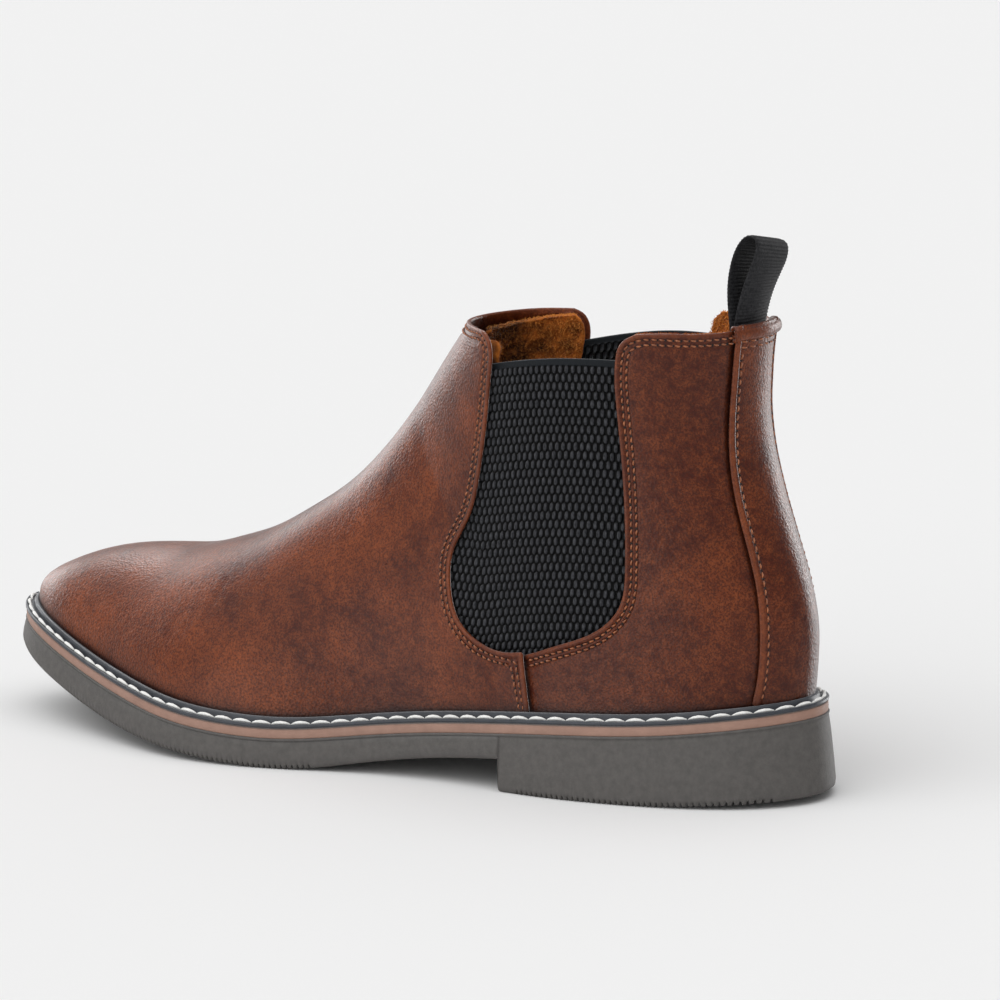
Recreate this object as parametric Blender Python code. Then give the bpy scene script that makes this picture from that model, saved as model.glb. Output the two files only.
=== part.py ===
"""A men's chelsea boot for the left foot, in metres: toe towards -Y, outer side +X, standing on Z = 0.

The upper is drawn on one surface, the boot's outside. Its side view is bounded by the ridge (toe to the
front of the shaft), the back curve, the feather line where it meets the welt, and the topline. Each
panel is a patch of that surface with its own thickness, and the plies lie inside one another.
"""

import bpy
import numpy as np

MM = 0.001
# The middle of the boot's box, in the millimetres used below: it becomes the object's origin.
BOX_MIDDLE = (1.8, 2.75, 0.0)
OUTER = 1
INNER = -1
GAP = 0.3

# Sole, seen from above: (x, y) round the edge, from the back of the heel down the outer side.
SOLE_EDGE = [
    (4, 159), (16.5, 153), (29, 136), (37.5, 108), (41, 78), (39.5, 42), (42.5, 8), (51.5, -27),
    (53, -55), (45, -85), (33.8, -114), (20, -140), (-0.6, -153.6), (-20.5, -143), (-37, -119.5),
    (-47, -90), (-50, -58), (-45, -22), (-36, 12), (-31, 42), (-31, 75), (-31, 108), (-25.5, 135),
    (-12.5, 153.5),
]
# Height of the outsole's top and underside along the boot: (y, z).
SOLE_TOP = [
    (-154, 31.8), (-133, 27.8), (-111, 22), (-82, 15.9), (-56, 11.9), (-35, 10.1), (-17, 9.7), (0, 11),
    (18, 13.3), (50, 17), (82, 20), (107, 21.5), (123, 22.8), (136, 24.2), (160, 26.8),
]
SOLE_UNDER = [
    (-154, 25), (-146, 22.4), (-128, 16.8), (-112, 12), (-83, 5.6), (-56, 2.3), (-35, 0.6), (-17, 0),
    (-9, 0.4), (7, 2.8), (25, 5.8), (41, 8), (64, 10.4),
]
HEEL_BREAST = 64.0
HEEL_LIFT_FROM = 101.0
HEEL_LIFT = 3.4
TREAD_DEPTH = 1.2
TREAD_GROOVE = 1.6
HEEL_GROOVES = [72 + 6.0 * i for i in range(11)]
FOREPART_GROOVES = [-104 + 7.0 * i for i in range(13)]

MIDSOLE_THICK = 3.0
# Across the top of the welt: (distance inside the sole's edge, height above the welt's underside).
WELT_SECTION = [
    (0.2, 0.0), (0.2, 2.4), (0.9, 2.6), (1.5, 1.9), (3.3, 1.9), (3.7, 2.6), (4.2, 2.6), (4.2, 0.0),
]
UPPER_INSET = 5.5
STITCH_INSET = 2.4
STITCH_HEIGHT = 2.7
STITCH_RADIUS = 0.45

# Side view of the upper: (y, z).
RIDGE = [
    (-148.2, 35.5), (-148.8, 39), (-144.5, 44.8), (-136.5, 49.2), (-125, 53.6), (-110, 56.8), (-95, 58),
    (-82, 59.3), (-68, 62.8), (-47, 70.3), (-33, 77.8), (-20, 86), (-10, 94), (1.5, 105.5),
    (10.5, 116), (19.8, 127.5), (26.7, 136), (33.5, 144), (40, 153), (46, 163),
]
BACK = [
    (20, 152), (30, 153), (40, 154.1), (50, 154.8), (63, 153.4), (80, 147.9), (95, 142.9), (110, 139.1),
    (125, 137.9), (149, 140.4), (170, 142.9),
]
SHAFT_MIDDLE = 86.0
SHAFT_TOP = 170.0
# Where a cut square to the ridge at y comes down on the feather line: (y on the ridge, y there).
SECTION_FEET = [
    (-150, -150), (-100, -100), (-70, -69), (-47, -42), (-33, -20), (-20, 8), (-10, 32), (1.5, 58),
    (10.5, 80),
]
CENTRE_LINE = [(-150, -1), (-110, -2.5), (-60, -4), (-20, -3), (20, 0), (60, 2.5), (90, 3), (160, 3)]
SHAFT_HALF_OUTER = [(20, 33), (60, 32.5), (90, 31.5), (110, 31.5), (150, 34), (175, 35)]
SHAFT_HALF_INNER = [(20, 30), (60, 30.5), (90, 31), (110, 31.5), (150, 34), (175, 35)]
ROUNDNESS = 2.2
ROW_FADE = 4

# Edges of the panels in the side view: (y, z).
SEAM_FOOT_Y = 73.0
SEAM_HEAD = (69.9, 44.5)
VAMP_EDGE = [
    SEAM_HEAD, (63.9, 43.8), (52.7, 45.7), (44, 52.1), (40.3, 62.2), (40.5, 73.5), (46.8, 84.8),
    (52.1, 102.6), (55.2, 119), (57.2, 132), (57.8, 138.5), (56.2, 142.6), (52.5, 144.8),
]
QUARTER_EDGE = [
    (63.5, 42.2), (70.6, 43.6), (82.7, 47.7), (98.4, 54.4), (105.4, 62.2), (107.4, 74), (107.4, 90),
    (106.5, 110.5), (105.7, 127), (106.3, 139.5), (108.4, 145.2), (113.5, 148.2),
]
TONGUE_FOOT_Y = 63.5
FRONT_TOP = [(52.5, 144.8), (44, 145), (34, 144.6)]
REAR_TOP = [(113.5, 148.2), (122, 148.4), (132, 148), (140.4, 148.3)]
LINING_DROP = 4.5
GORE_FRONT = [(42, 51), (35.5, 62), (36, 74), (42, 87), (46.8, 102), (49.6, 119), (51, 133)]
GORE_FOOT = [(42, 51), (52, 41), (64, 38.6), (78, 40.8), (96, 48), (107, 55)]
GORE_REAR = [(107, 55), (113, 66), (114.2, 80), (113.8, 100), (113, 118), (113.5, 138.5)]
GORE_TOP = [(51, 133), (67, 136.5), (84, 139), (100, 139.3), (113.5, 138.5)]
STRIP_EDGE = [
    (143.9, 31), (145.5, 38.4), (146.8, 50.2), (146, 65.2), (142.2, 80.4), (137.9, 95.7),
    (135.3, 111), (135.3, 126.6), (138, 149.5),
]

# Plies: depth below the boot's outside, from the outer face to the inner face.
STRIP_PLY = (-1.6, -GAP)
LEATHER_PLY = (0.0, 1.3)
LAP_STEP = 0.8
GORE_PLY = (2.4, 3.3)
PUFF_PLY = (2.1, 3.3)
COUNTER_PLY = (1.9, 3.6)
LINING_PLY = (4.4, 5.7)
THREAD_DEPTH = -0.66
THREAD_RADIUS = 0.3

INSOLE_INSET = 12.2
INSOLE_THICK = 2.2
SOCK_INSET = 12.6
SOCK_THICK = 3.0
FILLER_THICK = 1.6
SHANK = (14.0, -4.0, 104.0, 1.2)

LOOP_HALF_WIDTH = 9.2
LOOP_THICK = 0.9
LOOP_BEND = 1 / (2 * 17.6)
LOOP_FLAT_Z = 176.0
LOOP_ROOT_Z = 148.0
# How much lower the top of the loop is on its inner side, as a slope.
LOOP_TILT = 0.2
# Middle of the webbing in the side view, up the outer leg, over the top and down the inner leg: (y, z).
LOOP_PATH = [
    (136.9, 137.5), (138.1, 147), (139.2, 153), (140.9, 160), (143.4, 167), (144.9, 172.5), (144.4, 175),
    (142.3, 175.8), (138.6, 174), (135.2, 168.5), (134.1, 161), (135.8, 153), (137, 147), (135.8, 137.5),
]
THREAD_INSETS = (2.6, 4.3)
STRIP_THREAD_SHARE = 0.2

# Shares across and up the panels at which their meshes are cut.
VAMP_ACROSS = np.linspace(0, 1, 19)
VAMP_UP = np.linspace(0, 1, 20) ** 1.7
QUARTER_ACROSS = np.linspace(0, 1, 14)
QUARTER_UP = np.linspace(0, 1, 18)
# How far the stiffeners reach in those meshes: (columns each side of the spine, rows).
PUFF_REACH = (5, slice(2, 10))
COUNTER_REACH = (8, slice(0, 7))

# Where the moving pieces turn.
LOOP_HINGE = (3.0, 137.6, 148.0)
FLEX_AXIS = (0.0, -48.0, 12.0)
OPENING_AXIS = (3.0, 118.0, 66.0)
JOINT_OF = {
    "pull_loop": LOOP_HINGE, "toe_puff": FLEX_AXIS, "bottom_filler": FLEX_AXIS,
    "quarter_outer": OPENING_AXIS, "quarter_inner": OPENING_AXIS, "quarter_lining": OPENING_AXIS,
    "back_strip": OPENING_AXIS,
}

COLOURS = {
    "leather": (0.19, 0.055, 0.025), "lining": (0.42, 0.14, 0.03), "elastic": (0.02, 0.022, 0.025),
    "webbing": (0.018, 0.018, 0.02), "thread": (0.5, 0.2, 0.07), "white_thread": (0.8, 0.8, 0.77),
    "welt": (0.03, 0.035, 0.045), "midsole": (0.3, 0.17, 0.11), "rubber": (0.09, 0.088, 0.08),
    "board": (0.55, 0.42, 0.28), "steel": (0.5, 0.5, 0.5), "cork": (0.45, 0.27, 0.13),
    "stiffener": (0.75, 0.73, 0.68), "sock": (0.12, 0.07, 0.045),
}


# Curves

def spline(knots, values, at):
    """A natural cubic through the values, read at the places in `at`."""
    knots = np.asarray(knots, float)
    values = np.asarray(values, float)
    steps = np.diff(knots)
    matrix = np.eye(len(knots))
    right = np.zeros_like(values)
    for i in range(1, len(knots) - 1):
        matrix[i, i - 1:i + 2] = steps[i - 1], 2 * (steps[i - 1] + steps[i]), steps[i]
        right[i] = 6 * ((values[i + 1] - values[i]) / steps[i] - (values[i] - values[i - 1]) / steps[i - 1])
    bend = np.linalg.solve(matrix, right)
    at = np.clip(np.asarray(at, float), knots[0], knots[-1])
    i = np.clip(np.searchsorted(knots, at, side="right") - 1, 0, len(knots) - 2)
    shape = i.shape + (1,) * (values.ndim - 1)
    past = (at - knots[i]).reshape(shape)
    left = (knots[i + 1] - at).reshape(shape)
    step = steps[i].reshape(shape)
    curve = (bend[i] * left**3 + bend[i + 1] * past**3) / (6 * step)
    start = values[i] / step - bend[i] * step / 6
    end = values[i + 1] / step - bend[i + 1] * step / 6
    return curve + start * left + end * past


def read(table, at):
    """The height or width that a table of (place, value) gives at each place."""
    table = np.array(table, float)
    return spline(table[:, 0], table[:, 1], at)


def lengths(points):
    return np.concatenate([[0], np.cumsum(np.linalg.norm(np.diff(points, axis=0), axis=1))])


def resample(points, shares):
    """Points on a fine polyline at these shares of its length."""
    run = lengths(points)
    at = np.asarray(shares) * run[-1]
    return np.stack([np.interp(at, run, points[:, k]) for k in range(points.shape[1])], -1)


def smooth_line(points, shares):
    """A smooth curve through a few points, read at shares of its length."""
    points = np.asarray(points, float)
    run = lengths(points)
    return resample(spline(run, points, np.linspace(0, run[-1], 600)), shares)


def smooth_ring(points, count):
    """A smooth closed curve through the points, at even steps."""
    points = np.asarray(points, float)
    wrapped = np.vstack([points[-3:], points, points[:4]])
    run = lengths(wrapped)
    fine = spline(run, wrapped, np.linspace(run[3], run[-4], 2400))
    return resample(fine, np.linspace(0, 1, count + 1)[:-1])


def ease(start, end, at):
    share = np.clip((np.asarray(at, float) - start) / (end - start), 0, 1)
    return share * share * (3 - 2 * share)


# The sole's edge

RING = smooth_ring(SOLE_EDGE, 720)


def edge_ring(inset):
    """The sole's edge moved inwards by the inset."""
    along = np.roll(RING, -1, axis=0) - np.roll(RING, 1, axis=0)
    along /= np.linalg.norm(along, axis=1)[:, None]
    inwards = np.stack([along[:, 1], -along[:, 0]], -1)
    return RING + inset * inwards


def edge_halves(inset):
    """The outer and inner sides of the edge, each from toe to heel."""
    ring = edge_ring(inset)
    heel = int(ring[:, 1].argmax())
    ring = np.roll(ring, -heel, axis=0)
    toe = int(ring[:, 1].argmin())
    outer = ring[:toe + 1][::-1]
    inner = np.vstack([ring[toe:], ring[:1]])
    return outer, inner


FEATHER = dict(zip((OUTER, INNER), edge_halves(UPPER_INSET)))
FEATHER_HEEL_Y = FEATHER[OUTER][-1, 1]


def centre(y):
    return read(CENTRE_LINE, y)


def feather_half(y, side):
    line = FEATHER[side]
    return np.abs(np.interp(y, line[:, 1], line[:, 0]) - centre(y))


def feather_z(y):
    return read(SOLE_TOP, y) + MIDSOLE_THICK + 3 * GAP


# The outside of the upper

def section_lines():
    """Pairs of points: on the ridge, and where its cut ends on the feather line or the shaft's middle."""
    ridge = smooth_line(RIDGE, np.linspace(0, 1, 500))
    last_foot = int(np.argmax(ridge[:, 0] > SECTION_FEET[-1][0]))
    foot = np.empty_like(ridge)
    foot[:last_foot, 0] = np.minimum(read(SECTION_FEET, ridge[:last_foot, 0]), SHAFT_MIDDLE)
    foot[:last_foot, 1] = feather_z(foot[:last_foot, 0])
    rise = np.linspace(0, 1, len(ridge) - last_foot + 1)[1:]
    low = float(feather_z(SHAFT_MIDDLE))
    foot[last_foot:, 0] = SHAFT_MIDDLE
    foot[last_foot:, 1] = low + (SHAFT_TOP - low) * rise
    return ridge, foot


RIDGE_LINE, FOOT_LINE = section_lines()


def share_to_ridge(y, z):
    """0 on the feather line or the shaft's middle, and 1 on the ridge, along the cuts square to the ridge."""
    span = RIDGE_LINE - FOOT_LINE
    from_foot_y = y[:, None] - FOOT_LINE[None, :, 0]
    from_foot_z = z[:, None] - FOOT_LINE[None, :, 1]
    turn = span[None, :, 0] * from_foot_z - span[None, :, 1] * from_foot_y
    i = np.clip((turn < 0).sum(axis=1), 1, len(span) - 1)
    rows = np.arange(len(y))
    before = turn[rows, i - 1]
    after = turn[rows, i]
    step = np.where(np.abs(after - before) > 1e-12, after - before, 1.0)
    share = np.clip(-before / step, 0, 1)[:, None]
    ridge = RIDGE_LINE[i - 1] * (1 - share) + RIDGE_LINE[i] * share
    foot = FOOT_LINE[i - 1] * (1 - share) + FOOT_LINE[i] * share
    cut = ridge - foot
    place = np.stack([y, z], -1) - foot
    return np.clip((cut * place).sum(axis=1) / np.maximum((cut * cut).sum(axis=1), 1e-9), 0, 1)


def half_width(y, z, side):
    """How far the outside stands from the centre line at this place in the side view."""
    base_y = np.minimum(y, SHAFT_MIDDLE)
    low = feather_half(base_y, side)
    high = read(SHAFT_HALF_OUTER if side == OUTER else SHAFT_HALF_INNER, z)
    width = low + (high - low) * ease(22, 125, z)
    front = np.maximum(1 - share_to_ridge(y, z) ** ROUNDNESS, 0) ** (1 / ROUNDNESS)
    back_y = read(BACK, z)
    to_back = np.clip((y - SHAFT_MIDDLE) / (back_y - SHAFT_MIDDLE), 0, 1)
    seat_y = SHAFT_MIDDLE + to_back * (FEATHER_HEEL_Y - SHAFT_MIDDLE)
    seat = feather_half(seat_y, side) / feather_half(np.array([SHAFT_MIDDLE]), side)
    seat = np.where(to_back >= 1, 0, seat)
    oval = np.sqrt(np.maximum(1 - to_back**2.1, 0))
    blend = ease(30, 130, z)
    return width * front * (seat * (1 - blend) + oval * blend)


def on_upper(side_view, side):
    """Points on the boot's outside from points of the side view."""
    flat = side_view.reshape(-1, 2)
    x = centre(flat[:, 0]) + side * half_width(flat[:, 0], flat[:, 1], side)
    return np.concatenate([x[:, None], flat], axis=1).reshape(side_view.shape[:-1] + (3,))


# Patches of the upper

def even_row(side_view, side, shares):
    """Places in the side view at shares of the length that the line has on the boot's outside."""
    run = lengths(on_upper(side_view, side))
    at = np.asarray(shares) * run[-1]
    return np.stack([np.interp(at, run, side_view[:, k]) for k in range(2)], -1)


def into_spine(points, count=400):
    """A smooth line that ends on the spine, with its points crowding there."""
    return smooth_line(points, np.sin(np.linspace(0, np.pi / 2, count)))


def feather_line(from_y, to_y, side):
    """The feather line in the side view from one place to the other."""
    line = FEATHER[side]
    low, high = sorted((from_y, to_y))
    y = np.concatenate([[low], line[(line[:, 1] > low) & (line[:, 1] < high), 1], [high]])
    y = y if from_y < to_y else y[::-1]
    return np.stack([y, feather_z(y)], -1)


def patch(edge, foot, top, spine, side, across, up):
    """A side view grid between four lines, as rows from the foot (0) to the top (1).

    Each row runs from the panel's edge (0) to the spine (1), where the boot turns to its other side. The
    rows away from the foot and the top are nearly straight.
    """
    across = np.asarray(across, float)
    up = np.asarray(up, float)
    towards = np.sin(across * np.pi / 2)[None, :, None]
    rise = up[:, None, None]
    foot_row = even_row(foot, side, across)[None]
    top_row = even_row(top, side, across)[None]
    edge_column = resample(edge, up)[:, None]
    spine_column = resample(spine, up)[:, None]
    low = (1 - towards) * foot[0] + towards * foot[-1]
    high = (1 - towards) * top[0] + towards * top[-1]
    rows = (1 - rise) ** ROW_FADE * (foot_row - low) + rise**ROW_FADE * (top_row - high)
    return rows + (1 - towards) * edge_column + towards * spine_column


def ridge_up_to(z):
    toe = np.array([FEATHER[OUTER][0, 1], float(feather_z(FEATHER[OUTER][0, 1]))])
    line = smooth_line(RIDGE, np.linspace(0, 1, 800))
    line = line[(line[:, 1] > toe[1] + 0.2) & (line[:, 1] < z)]
    return np.vstack([toe, line, [np.interp(z, line[:, 1], line[:, 0]), z]])


def back_up_to(z):
    heel = np.array([FEATHER_HEEL_Y, float(feather_z(FEATHER_HEEL_Y))])
    heights = np.linspace(heel[1], z, 300)[1:]
    return np.vstack([heel, np.stack([read(BACK, heights), heights], -1)])


def vamp_grid(side, across, up, drop=0.0):
    """The front panel's side view: toe, instep and the shaft's front leaf, less `drop` off its top."""
    edge = smooth_line(VAMP_EDGE, np.linspace(0, 1, 500))
    top_z = FRONT_TOP[-1][1] - drop
    if drop:
        edge = edge[:int(np.argmax(edge[:, 1] > top_z))]
    spine = ridge_up_to(top_z)
    seam = np.linspace(edge[0], (SEAM_FOOT_Y, feather_z(SEAM_FOOT_Y)), 60)
    foot = np.vstack([seam, feather_line(SEAM_FOOT_Y, FEATHER[side][0, 1], side)[1:]])
    top = into_spine([edge[-1], (edge[-1] + spine[-1]) / 2 + (0, 0.3), spine[-1]])
    return patch(edge, foot, top, spine, side, across, up)


def quarter_grid(side, across, up, drop=0.0):
    """The side panel behind the elastic, from the lap under the vamp to the back seam."""
    edge = smooth_line(QUARTER_EDGE, np.linspace(0, 1, 500))
    top_z = REAR_TOP[-1][1] - drop
    foot_y = TONGUE_FOOT_Y
    if drop:
        foot_y = SEAM_FOOT_Y + 2
        edge = edge[(edge[:, 0] > foot_y) & (edge[:, 1] < top_z)]
    spine = back_up_to(top_z)
    lap = np.linspace(edge[0], (foot_y, feather_z(foot_y)), 60)
    foot = np.vstack([lap, feather_line(foot_y, FEATHER_HEEL_Y, side)[1:]])
    top = into_spine([edge[-1], *[(y, z - drop) for y, z in REAR_TOP[1:-1]], spine[-1]])
    return patch(edge, foot, top, spine, side, across, up)


def gore_grid(across, up):
    """The elastic's side view, with the allowance that lies under the leather."""
    front, rear, foot, top = [
        smooth_line(line, np.linspace(0, 1, 300)) for line in (GORE_FRONT, GORE_REAR, GORE_FOOT, GORE_TOP)
    ]
    a = np.asarray(across, float)[None, :, None]
    b = np.asarray(up, float)[:, None, None]
    rows = (1 - b) * resample(foot, across)[None] + b * resample(top, across)[None]
    columns = (1 - a) * resample(front, up)[:, None] + a * resample(rear, up)[:, None]
    corners = (1 - b) * ((1 - a) * foot[0] + a * foot[-1]) + b * ((1 - a) * top[0] + a * top[-1])
    return rows + columns - corners


def strip_grid(side, across, up):
    """The back strip's side view on one side, from its edge to the back seam."""
    edge = smooth_line(STRIP_EDGE, up)[:, None]
    spine = np.stack([read(BACK, edge[:, 0, 1]), edge[:, 0, 1]], -1)[:, None]
    towards = np.sin(np.asarray(across) * np.pi / 2)[None, :, None]
    return (1 - towards) * edge + towards * spine


def both_sides(grid, across, *more):
    """A panel that goes over the spine: its outer side, then its inner side the other way round."""
    outer = on_upper(grid(OUTER, across, *more), OUTER)
    inner = on_upper(grid(INNER, across, *more), INNER)
    return np.concatenate([outer, inner[:, ::-1][:, 1:]], axis=1)


def facing(points, side):
    """The outward normal at each point of a grid whose first column is on this side."""
    normal = np.cross(np.gradient(points, axis=1), np.gradient(points, axis=0))
    normal /= np.linalg.norm(normal, axis=2)[:, :, None]
    return normal if (normal[:, 0, 0] * side).mean() > 0 else -normal


# Meshes

def collection(name):
    made = bpy.data.collections.new(name)
    bpy.context.scene.collection.children.link(made)
    return made


def material(name):
    made = bpy.data.materials.get(name)
    if made is None:
        made = bpy.data.materials.new(name)
        made.use_nodes = True
        shader = made.node_tree.nodes["Principled BSDF"]
        shader.inputs["Base Color"].default_value = (*COLOURS[name], 1)
        shader.inputs["Roughness"].default_value = 0.6
        shader.inputs["Metallic"].default_value = 1.0 if name == "steel" else 0.0
    return made


def add_mesh(name, points, faces, finish):
    """One named object from points in millimetres, with its origin on its joint's axis if it has one."""
    origin = np.array(JOINT_OF.get(name, BOX_MIDDLE))
    mesh = bpy.data.meshes.new(name)
    mesh.from_pydata((np.asarray(points) - origin) * MM, [], [tuple(map(int, face)) for face in faces])
    mesh.materials.append(material(finish))
    made = bpy.data.objects.new(name, mesh)
    made.location = (origin - BOX_MIDDLE) * MM
    BOOT.objects.link(made)
    return made


def volume(points, faces):
    total = 0.0
    for face in faces:
        corners = [points[i] for i in face]
        for i in range(1, len(corners) - 1):
            total += float(np.dot(corners[0], np.cross(corners[i], corners[i + 1])))
    return total


def facing_out(points, faces):
    """The faces, turned round if they bound the solid from the wrong side."""
    if volume(np.asarray(points, float), faces) < 0:
        return [face[::-1] for face in faces]
    return faces


def grid_faces(rows, columns, start=0):
    return [
        (start + i * columns + j, start + i * columns + j + 1,
         start + (i + 1) * columns + j + 1, start + (i + 1) * columns + j)
        for i in range(rows - 1) for j in range(columns - 1)
    ]


def rim_of(rows, columns):
    """The grid's border as one loop of indices."""
    low = list(range(columns))
    right = [i * columns + columns - 1 for i in range(1, rows)]
    high = [(rows - 1) * columns + j for j in range(columns - 2, -1, -1)]
    left = [i * columns for i in range(rows - 2, 0, -1)]
    return low + right + high + left


def add_ply(name, points, normals, ply, finish):
    """A sheet of a panel between two depths below the boot's outside. A depth may vary over the grid."""
    rows, columns = points.shape[:2]
    depths = [np.broadcast_to(np.asarray(depth, float), (rows, columns))[..., None] for depth in ply]
    faces_of = [(points - normals * depth).reshape(-1, 3) for depth in depths]
    count = rows * columns
    faces = grid_faces(rows, columns) + [face[::-1] for face in grid_faces(rows, columns, count)]
    rim = rim_of(rows, columns)
    faces += [
        (rim[(i + 1) % len(rim)], rim[i], rim[i] + count, rim[(i + 1) % len(rim)] + count)
        for i in range(len(rim))
    ]
    solid = np.vstack(faces_of)
    return add_mesh(name, solid, facing_out(solid, faces), finish)


def add_tube(name, path, radius, finish, closed=False, sides=5, up=None):
    """A thread: a thin tube along a path of points."""
    ahead = np.roll(path, -1, axis=0) - np.roll(path, 1, axis=0)
    if not closed:
        ahead[0] = path[1] - path[0]
        ahead[-1] = path[-1] - path[-2]
    ahead /= np.linalg.norm(ahead, axis=1)[:, None]
    across = np.cross(ahead, up)
    across /= np.linalg.norm(across, axis=1)[:, None]
    lift = np.cross(across, ahead)
    turns = np.arange(sides) * 2 * np.pi / sides
    ring = across[:, None] * np.cos(turns)[None, :, None] + lift[:, None] * np.sin(turns)[None, :, None]
    points = (path[:, None] + ring * radius).reshape(-1, 3)
    count = len(path)
    faces = []
    for i in range(count if closed else count - 1):
        for j in range(sides):
            a, b = i * sides + j, i * sides + (j + 1) % sides
            c, d = ((i + 1) % count) * sides + (j + 1) % sides, ((i + 1) % count) * sides + j
            faces.append((a, b, c, d))
    if not closed:
        faces.append(tuple(range(sides))[::-1])
        faces.append(tuple((count - 1) * sides + j for j in range(sides)))
    return add_mesh(name, points, facing_out(points, faces), finish)


def add_slices(name, slices, finish):
    """A solid from a row of closed slices with the same number of points, with both ends filled."""
    count = len(slices[0])
    points = np.concatenate(slices)
    faces = []
    for i in range(len(slices) - 1):
        for j in range(count):
            k = (j + 1) % count
            faces.append((i * count + j, i * count + k, (i + 1) * count + k, (i + 1) * count + j))
    faces.append(tuple(range(count))[::-1])
    faces.append(tuple((len(slices) - 1) * count + j for j in range(count)))
    return add_mesh(name, points, facing_out(points, faces), finish)


# Sole

def stations(low, high, count):
    """Places along the boot, closer together towards both ends."""
    return low + (high - low) * (1 - np.cos(np.linspace(0, np.pi, count))) / 2


def edge_x(inset, y):
    """Where the inset edge crosses each y: (outer x, inner x)."""
    outer, inner = edge_halves(inset)
    return np.interp(y, outer[:, 1], outer[:, 0]), np.interp(y, inner[:, 1], inner[:, 0])


def add_plate(name, inset, low, high, bottom, top, finish, count=34):
    """A layer of the sole that follows its curve: `bottom` and `top` are heights above the outsole's top."""
    outer, inner = edge_halves(inset)
    low = max(low, outer[0, 1] + 0.4)
    high = min(high, outer[-1, 1] - 0.4)
    y = stations(low, high, count)
    x_outer, x_inner = edge_x(inset, y)
    base = read(SOLE_TOP, y)
    slices = [
        [(x_outer[i], y[i], base[i] + bottom), (x_outer[i], y[i], base[i] + top),
         (x_inner[i], y[i], base[i] + top), (x_inner[i], y[i], base[i] + bottom)]
        for i in range(len(y))
    ]
    return add_slices(name, slices, finish)


def outsole_stations():
    """(y, underside, groove) along the outsole: each groove and the heel's breast take two places each."""
    low, high = RING[:, 1].min() + 0.3, RING[:, 1].max() - 0.3
    rows = [(y, 0.0) for y in stations(low, high, 44)]
    for start in FOREPART_GROOVES + HEEL_GROOVES:
        rows = [row for row in rows if not start - 0.8 < row[0] < start + TREAD_GROOVE + 0.8]
        rows += [(start, 0.0), (start + 0.01, TREAD_DEPTH)]
        rows += [(start + TREAD_GROOVE - 0.01, TREAD_DEPTH), (start + TREAD_GROOVE, 0.0)]
    rows = [row for row in rows if abs(row[0] - HEEL_BREAST) > 1.0]
    rows += [(HEEL_BREAST, -1.0), (HEEL_BREAST + 0.01, 0.0)]
    return sorted(rows)


def add_outsole():
    """The moulded rubber unit: tread, waist and heel block in one."""
    rows = outsole_stations()
    y = np.array([row[0] for row in rows])
    groove = np.maximum([row[1] for row in rows], 0)
    heel = 2 * HEEL_LIFT * ease(HEEL_LIFT_FROM, 2 * RING[:, 1].max() - HEEL_LIFT_FROM, y)
    under = np.where(y > HEEL_BREAST, heel, read(SOLE_UNDER, y)) + groove
    top = read(SOLE_TOP, y)
    wall_outer, wall_inner = edge_x(0.0, y)
    foot_outer, foot_inner = edge_x(0.8, np.clip(y, RING[:, 1].min() + 1.2, RING[:, 1].max() - 1.2))
    bevel = 0.8
    slices = [
        [(foot_outer[i], y[i], under[i]), (wall_outer[i], y[i], under[i] + bevel),
         (wall_outer[i], y[i], top[i]), (wall_inner[i], y[i], top[i]),
         (wall_inner[i], y[i], under[i] + bevel), (foot_inner[i], y[i], under[i])]
        for i in range(len(y))
    ]
    add_slices("outsole", slices, "rubber")


def add_midsole():
    add_plate("midsole", 0.3, -200, 200, GAP, GAP + MIDSOLE_THICK, "midsole", 44)


def ring_at(inset, height, count):
    """The sole's edge moved in by the inset, at a height above the outsole's top."""
    ring = edge_ring(inset)[::len(RING) // count]
    return np.stack([ring[:, 0], ring[:, 1], read(SOLE_TOP, ring[:, 1]) + height], -1)


def add_welt():
    """The strip round the upper's foot, with a rim and a groove for the stitching."""
    base = MIDSOLE_THICK + 2 * GAP
    count = 120
    rings = np.stack([ring_at(inset, base + rise, count) for inset, rise in WELT_SECTION], 1)
    sides = len(WELT_SECTION)
    points = rings.reshape(-1, 3)
    faces = []
    for i in range(count):
        for j in range(sides):
            k, n = (j + 1) % sides, (i + 1) % count
            faces.append((i * sides + j, i * sides + k, n * sides + k, n * sides + j))
    add_mesh("welt", points, facing_out(points, faces), "welt")


def add_welt_stitch():
    path = ring_at(STITCH_INSET, MIDSOLE_THICK + 2 * GAP + STITCH_HEIGHT, 144)
    add_tube("welt_stitch", path, STITCH_RADIUS, "white_thread", closed=True, up=(0, 0, 1))


def add_insole_board():
    base = MIDSOLE_THICK + 3 * GAP + FILLER_THICK + GAP
    inset = INSOLE_INSET + 3.0 * (1 - ease(-150, -120, RING[:, 1]))
    add_plate("insole_board", inset[:, None], -200, 200, base, base + INSOLE_THICK, "board")


def add_bottom_filler():
    base = MIDSOLE_THICK + 3 * GAP
    add_plate("bottom_filler", 17.0, -200, -14, base, base + FILLER_THICK, "cork", 20)


def add_sock_liner():
    base = MIDSOLE_THICK + 3 * GAP + FILLER_THICK + GAP + INSOLE_THICK + GAP
    inset = SOCK_INSET + 6.0 * (1 - ease(-150, -105, RING[:, 1]))
    add_plate("sock_liner", inset[:, None], -200, 200, base, base + SOCK_THICK, "sock")


def add_shank():
    """The spring steel strip that stiffens the waist."""
    width, low, high, thick = SHANK
    base = MIDSOLE_THICK + 3 * GAP + 0.2
    y = np.linspace(low, high, 20)
    height = read(SOLE_TOP, y) + base
    middle = centre(y) + 1.0
    slices = [
        [(middle[i] + width / 2, y[i], height[i]), (middle[i] + width / 2, y[i], height[i] + thick),
         (middle[i] - width / 2, y[i], height[i] + thick), (middle[i] - width / 2, y[i], height[i])]
        for i in range(len(y))
    ]
    add_slices("shank", slices, "steel")


# Upper

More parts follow.
